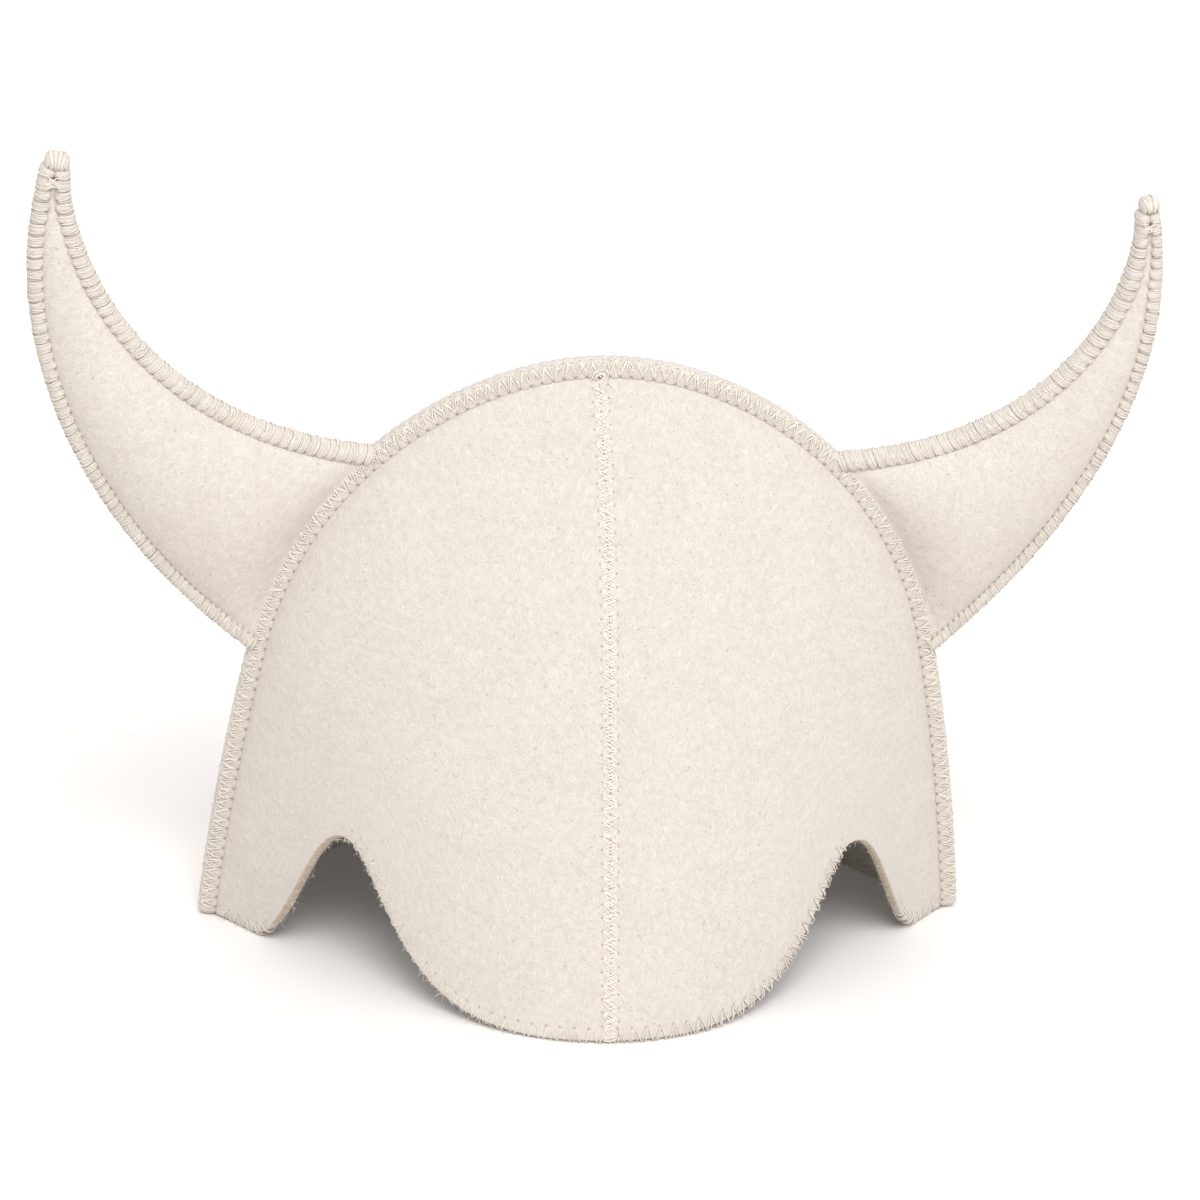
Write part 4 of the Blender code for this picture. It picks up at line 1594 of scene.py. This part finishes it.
class HAT_OT_horn_edges(bpy.types.Operator):
    """Build the beaded edges of both horns and the threads in their grooves"""

    bl_idname = "hat.sew_horns"
    bl_label = "Horn edges"

    def execute(self, context):
        felt, stitch = context.scene.hat_felt, context.scene.hat_stitch
        rng = np.random.default_rng(SEEDS["horn threads"])
        for side_name, side in SIDES:
            threads = []
            edges = {which: horn_edge(side_name, which, stitch.horn_pitch)
                     for which in ("lower", "upper")}
            edges["tip"] = horn_tip(side_name)
            for which, edge in edges.items():
                fan, mesh = (TIP_FAN, TIP_MESH) if which == "tip" else (0.0, HORN_MESH)
                points, faces, maps = edge.mesh(*mesh)
                piece = make_piece(f"{side_name}_horn_{which}_edge", points, faces,
                                   horn_edge_felt(felt, stitch), (side, 1.0), maps)
                fit_out(piece)
                threads += horn_threads(edge, stitch, rng, fan)
                if which == "tip":
                    threads += [tip_cross(side_name, face, stitch, rng) for _, face in FACES]
            # Threads with the same number of steps make one piece
            for number, steps in enumerate(sorted({line.shape[1] for line, _ in threads})):
                lines, ups = joined([turned((line, up), side) for line, up in threads
                                     if line.shape[1] == steps])
                piece = strands(f"{side_name}_horn_threads_{number}", lines, ups,
                                stitch.thread_diameter / 2, cotton(stitch))
                fit_out(piece)
        return {"FINISHED"}


class HAT_OT_ridge_threads(bpy.types.Operator):
    """Sew the zigzag threads over the arch, front and back"""

    bl_idname = "hat.sew_ridge"
    bl_label = "Arch threads"

    def execute(self, context):
        stitch = context.scene.hat_stitch
        edge = arch_ridge(stitch.ridge_pitch)
        for face_name, face in FACES:
            rng = np.random.default_rng(SEEDS["arch threads"])
            lines, ups = turned(ridge_threads(edge, face, stitch, rng), 1.0, face)
            piece = strands(f"arch_threads_{face_name}", lines, ups,
                            stitch.thread_diameter / 2, cotton(stitch))
            fit_out(piece)
        return {"FINISHED"}


# The threads of a centre seam, and how full each lies, as a share of the thread's size
SEAM_PARTS = (("seam_threads", seam_threads, 1.3), ("knot", crown_knot, 1.0))


class HAT_OT_seams(bpy.types.Operator):
    """Sew the centre seams, front and back, and the loose turns at the crown"""

    bl_idname = "hat.sew_seams"
    bl_label = "Centre seams"

    def execute(self, context):
        stitch = context.scene.hat_stitch
        rng = np.random.default_rng(SEEDS["centre seams"])
        for face_name, face in FACES:
            for part_name, make, full in SEAM_PARTS:
                lines, ups = turned(make(face, stitch, rng), 1.0, face)
                piece = strands(f"{face_name}_{part_name}", lines, ups,
                                full * stitch.thread_diameter / 2, cotton(stitch))
                fit_out(piece)
        return {"FINISHED"}


class HAT_OT_hem(bpy.types.Operator):
    """Sew the threads round the brim"""

    bl_idname = "hat.sew_hem"
    bl_label = "Brim threads"

    def execute(self, context):
        stitch = context.scene.hat_stitch
        rng = np.random.default_rng(SEEDS["brim threads"])
        for face_name, face in FACES:
            for side_name, side in SIDES:
                lines, ups = turned(hem_threads(face, side, stitch, rng), side, face)
                piece = strands(f"hem_threads_{face_name}_{side_name}", lines, ups,
                                stitch.hem_thread / 2, cotton(stitch))
                fit_out(piece)
        return {"FINISHED"}


# Loose fibres of the arch, the front seam and each edge of a horn: how many, how long
ARCH_FIBRES = (900, 0.8 * MM)
SEAM_FIBRES = (260, 1.1 * MM)
HORN_FIBRES = (260, 0.8 * MM)
# Loose fibres of each half of the brim: how many by its face, how long by its side
BRIM_COUNTS = {"front": 1100, "back": 300}
BRIM_LENGTHS = {"left": 0.9 * MM, "right": 0.6 * MM}


class HAT_OT_fibres(bpy.types.Operator):
    """Add loose wool fibres along the brim, the arch, the horns and the front seam"""

    bl_idname = "hat.add_fibres"
    bl_label = "Loose fibres"

    def execute(self, context):
        felt, stitch = context.scene.hat_felt, context.scene.hat_stitch
        rng = np.random.default_rng(SEEDS["fibres"])
        groups = {"arch": [edge_fibres(arch_ridge(stitch.ridge_pitch), *ARCH_FIBRES, rng)],
                  "brim": [], "horn": [], "seam": [seam_fibres(*SEAM_FIBRES, rng)]}
        for side_name, side in SIDES:
            for face_name, face in FACES:
                grown = brim_fibres(face, side, BRIM_COUNTS[face_name],
                                    BRIM_LENGTHS[side_name], rng)
                groups["brim"].append(turned(grown, side, face))
            for which in ("lower", "upper"):
                edge = horn_edge(side_name, which, stitch.horn_pitch)
                groups["horn"].append(turned(edge_fibres(edge, *HORN_FIBRES, rng), side))
        wool = look("loose wool fibres", fibre_material, felt.fibre)
        for name, sets in groups.items():
            fit_out(strands(f"{name}_fibres", *joined(sets), FIBRE_RADIUS, wool, sides=3))
        return {"FINISHED"}


BACKDROP_HALF = 6.0
# How high the camera and the lamps aim at the hat
TARGET_HEIGHT = 0.09
LAMP_SIZE = 1.4
LAMPS = (
    # name, place and target (m), spread (degrees), share of the power
    ("high front lamp", (0.0, -1.3, 1.9), (0.0, 0.0, TARGET_HEIGHT), 180.0, 0.98),
    ("right lamp", (1.6, -1.2, 1.3), (0.0, 0.0, TARGET_HEIGHT), 180.0, 0.23),
    ("left lamp", (-1.6, -1.2, 1.3), (0.0, 0.0, TARGET_HEIGHT), 180.0, 0.07),
    ("floor lamp", (0.0, 2.3, 1.5), (0.0, 1.4, 0.0), 75.0, 0.24),
)
# Width of the camera's sensor (mm), and the nearest distance it sees (m)
SENSOR_WIDTH = 36.0
NEAREST = 0.05
# Where the target lies from the middle of the frame, in shares of its width
FRAME_SHIFT = (6 / 1200, 45 / 1200)


class HAT_OT_stage(bpy.types.Operator):
    """Set the floor, the soft lights and the camera"""

    bl_idname = "hat.set_stage"
    bl_label = "Stage"

    def execute(self, context):
        scene, stage = context.scene, context.scene.hat_stage
        data = bpy.data.meshes.new("backdrop")
        corners = [(x * BACKDROP_HALF, y * BACKDROP_HALF, 0)
                   for x, y in ((-1, -1), (1, -1), (1, 1), (-1, 1))]
        data.from_pydata(corners, [], [(0, 1, 2, 3)])
        data.materials.append(look("matt white acrylic", floor_material, stage.floor))
        floor = bpy.data.objects.new("backdrop", data)
        scene.collection.objects.link(floor)
        floor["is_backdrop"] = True
        world = bpy.data.worlds.new("even light")
        world.use_nodes = True
        light = world.node_tree.nodes["Background"]
        light.inputs["Color"].default_value = srgb("#FFFFFF")
        light.inputs["Strength"].default_value = stage.sky
        scene.world = world
        for name, place, aimed_at, spread, share in LAMPS:
            lamp = bpy.data.lights.new(name, "AREA")
            lamp.shape = "DISK"
            lamp.size = LAMP_SIZE
            lamp.energy = stage.key * share
            lamp.spread = math.radians(spread)
            lit = bpy.data.objects.new(name, lamp)
            place = np.array(place)
            aim(lit, place, np.array(aimed_at) - place, np.array([0, 0, 1.0]))
            scene.collection.objects.link(lit)
        place_camera(scene, stage, np.array([HAT_X, 0.0, TARGET_HEIGHT]))
        scene.view_settings.view_transform = "Standard"
        scene.view_settings.look = "None"
        scene.view_settings.exposure = 0.0
        return {"FINISHED"}


def aim(thing, place, along, up):
    """Places an object that looks down its own -Z along a line, with its +Y near up."""
    forward_line = unit(along)
    right = unit(np.cross(forward_line, up))
    above = np.cross(right, forward_line)
    turn = np.stack([right, above, -forward_line], 1)
    thing.matrix_world = Matrix.Translation(place) @ Matrix(turn.tolist()).to_4x4()


def place_camera(scene, stage, target):
    """A camera at stage.distance from the target, turned by its azimuth, elevation and
    roll."""
    side, down, roll = stage.azimuth, stage.elevation, stage.roll
    along = np.array([math.sin(side) * math.cos(down), math.cos(side) * math.cos(down),
                      -math.sin(down)])
    right = np.array([math.cos(side), -math.sin(side), 0.0])
    above = np.cross(right, along)
    data = bpy.data.cameras.new("photo camera")
    data.lens = stage.lens
    data.sensor_width = SENSOR_WIDTH
    data.shift_x, data.shift_y = FRAME_SHIFT
    data.clip_start = NEAREST
    camera = bpy.data.objects.new("photo camera", data)
    aim(camera, target - along * stage.distance, along,
        math.cos(roll) * above - math.sin(roll) * right)
    scene.collection.objects.link(camera)
    scene.camera = camera


class HAT_PT_sidebar(bpy.types.Panel):
    """Lists the hat's sizes and the steps that build it"""

    bl_idname = "HAT_PT_sidebar"
    bl_label = "Sauna hat"
    bl_space_type = "VIEW_3D"
    bl_region_type = "UI"
    bl_category = "Hat"

    def draw(self, context):
        for group in ("hat_felt", "hat_stitch", "hat_stage"):
            settings = getattr(context.scene, group)
            box = self.layout.box()
            for name in settings.bl_rna.properties.keys()[2:]:
                box.prop(settings, name)
        for step in STEPS:
            self.layout.operator(step.bl_idname)


STEPS = (HAT_OT_ridge, HAT_OT_panels, HAT_OT_horns, HAT_OT_horn_edges,
         HAT_OT_ridge_threads, HAT_OT_seams, HAT_OT_hem, HAT_OT_fibres, HAT_OT_stage)
GROUPS = {"hat_felt": FeltSizes, "hat_stitch": StitchSizes, "hat_stage": StageLook}


def register():
    """Registers the properties, the operators and the panel."""
    for group in (*GROUPS.values(), *STEPS, HAT_PT_sidebar):
        bpy.utils.register_class(group)
    for name, group in GROUPS.items():
        setattr(bpy.types.Scene, name, bpy.props.PointerProperty(type=group))


def unregister():
    """Takes them out again."""
    for name in GROUPS:
        delattr(bpy.types.Scene, name)
    for group in reversed((*GROUPS.values(), *STEPS, HAT_PT_sidebar)):
        bpy.utils.unregister_class(group)


def main():
    """Builds the hat and its stage."""
    register()
    for step in STEPS:
        family, name = step.bl_idname.split(".")
        getattr(getattr(bpy.ops, family), name)()
    boxes = {"before": SOLIDS_BOX, "after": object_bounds()}
    boxes = {name: [list(corner) for corner in box] for name, box in boxes.items()}


if __name__ == "__main__":
    main()
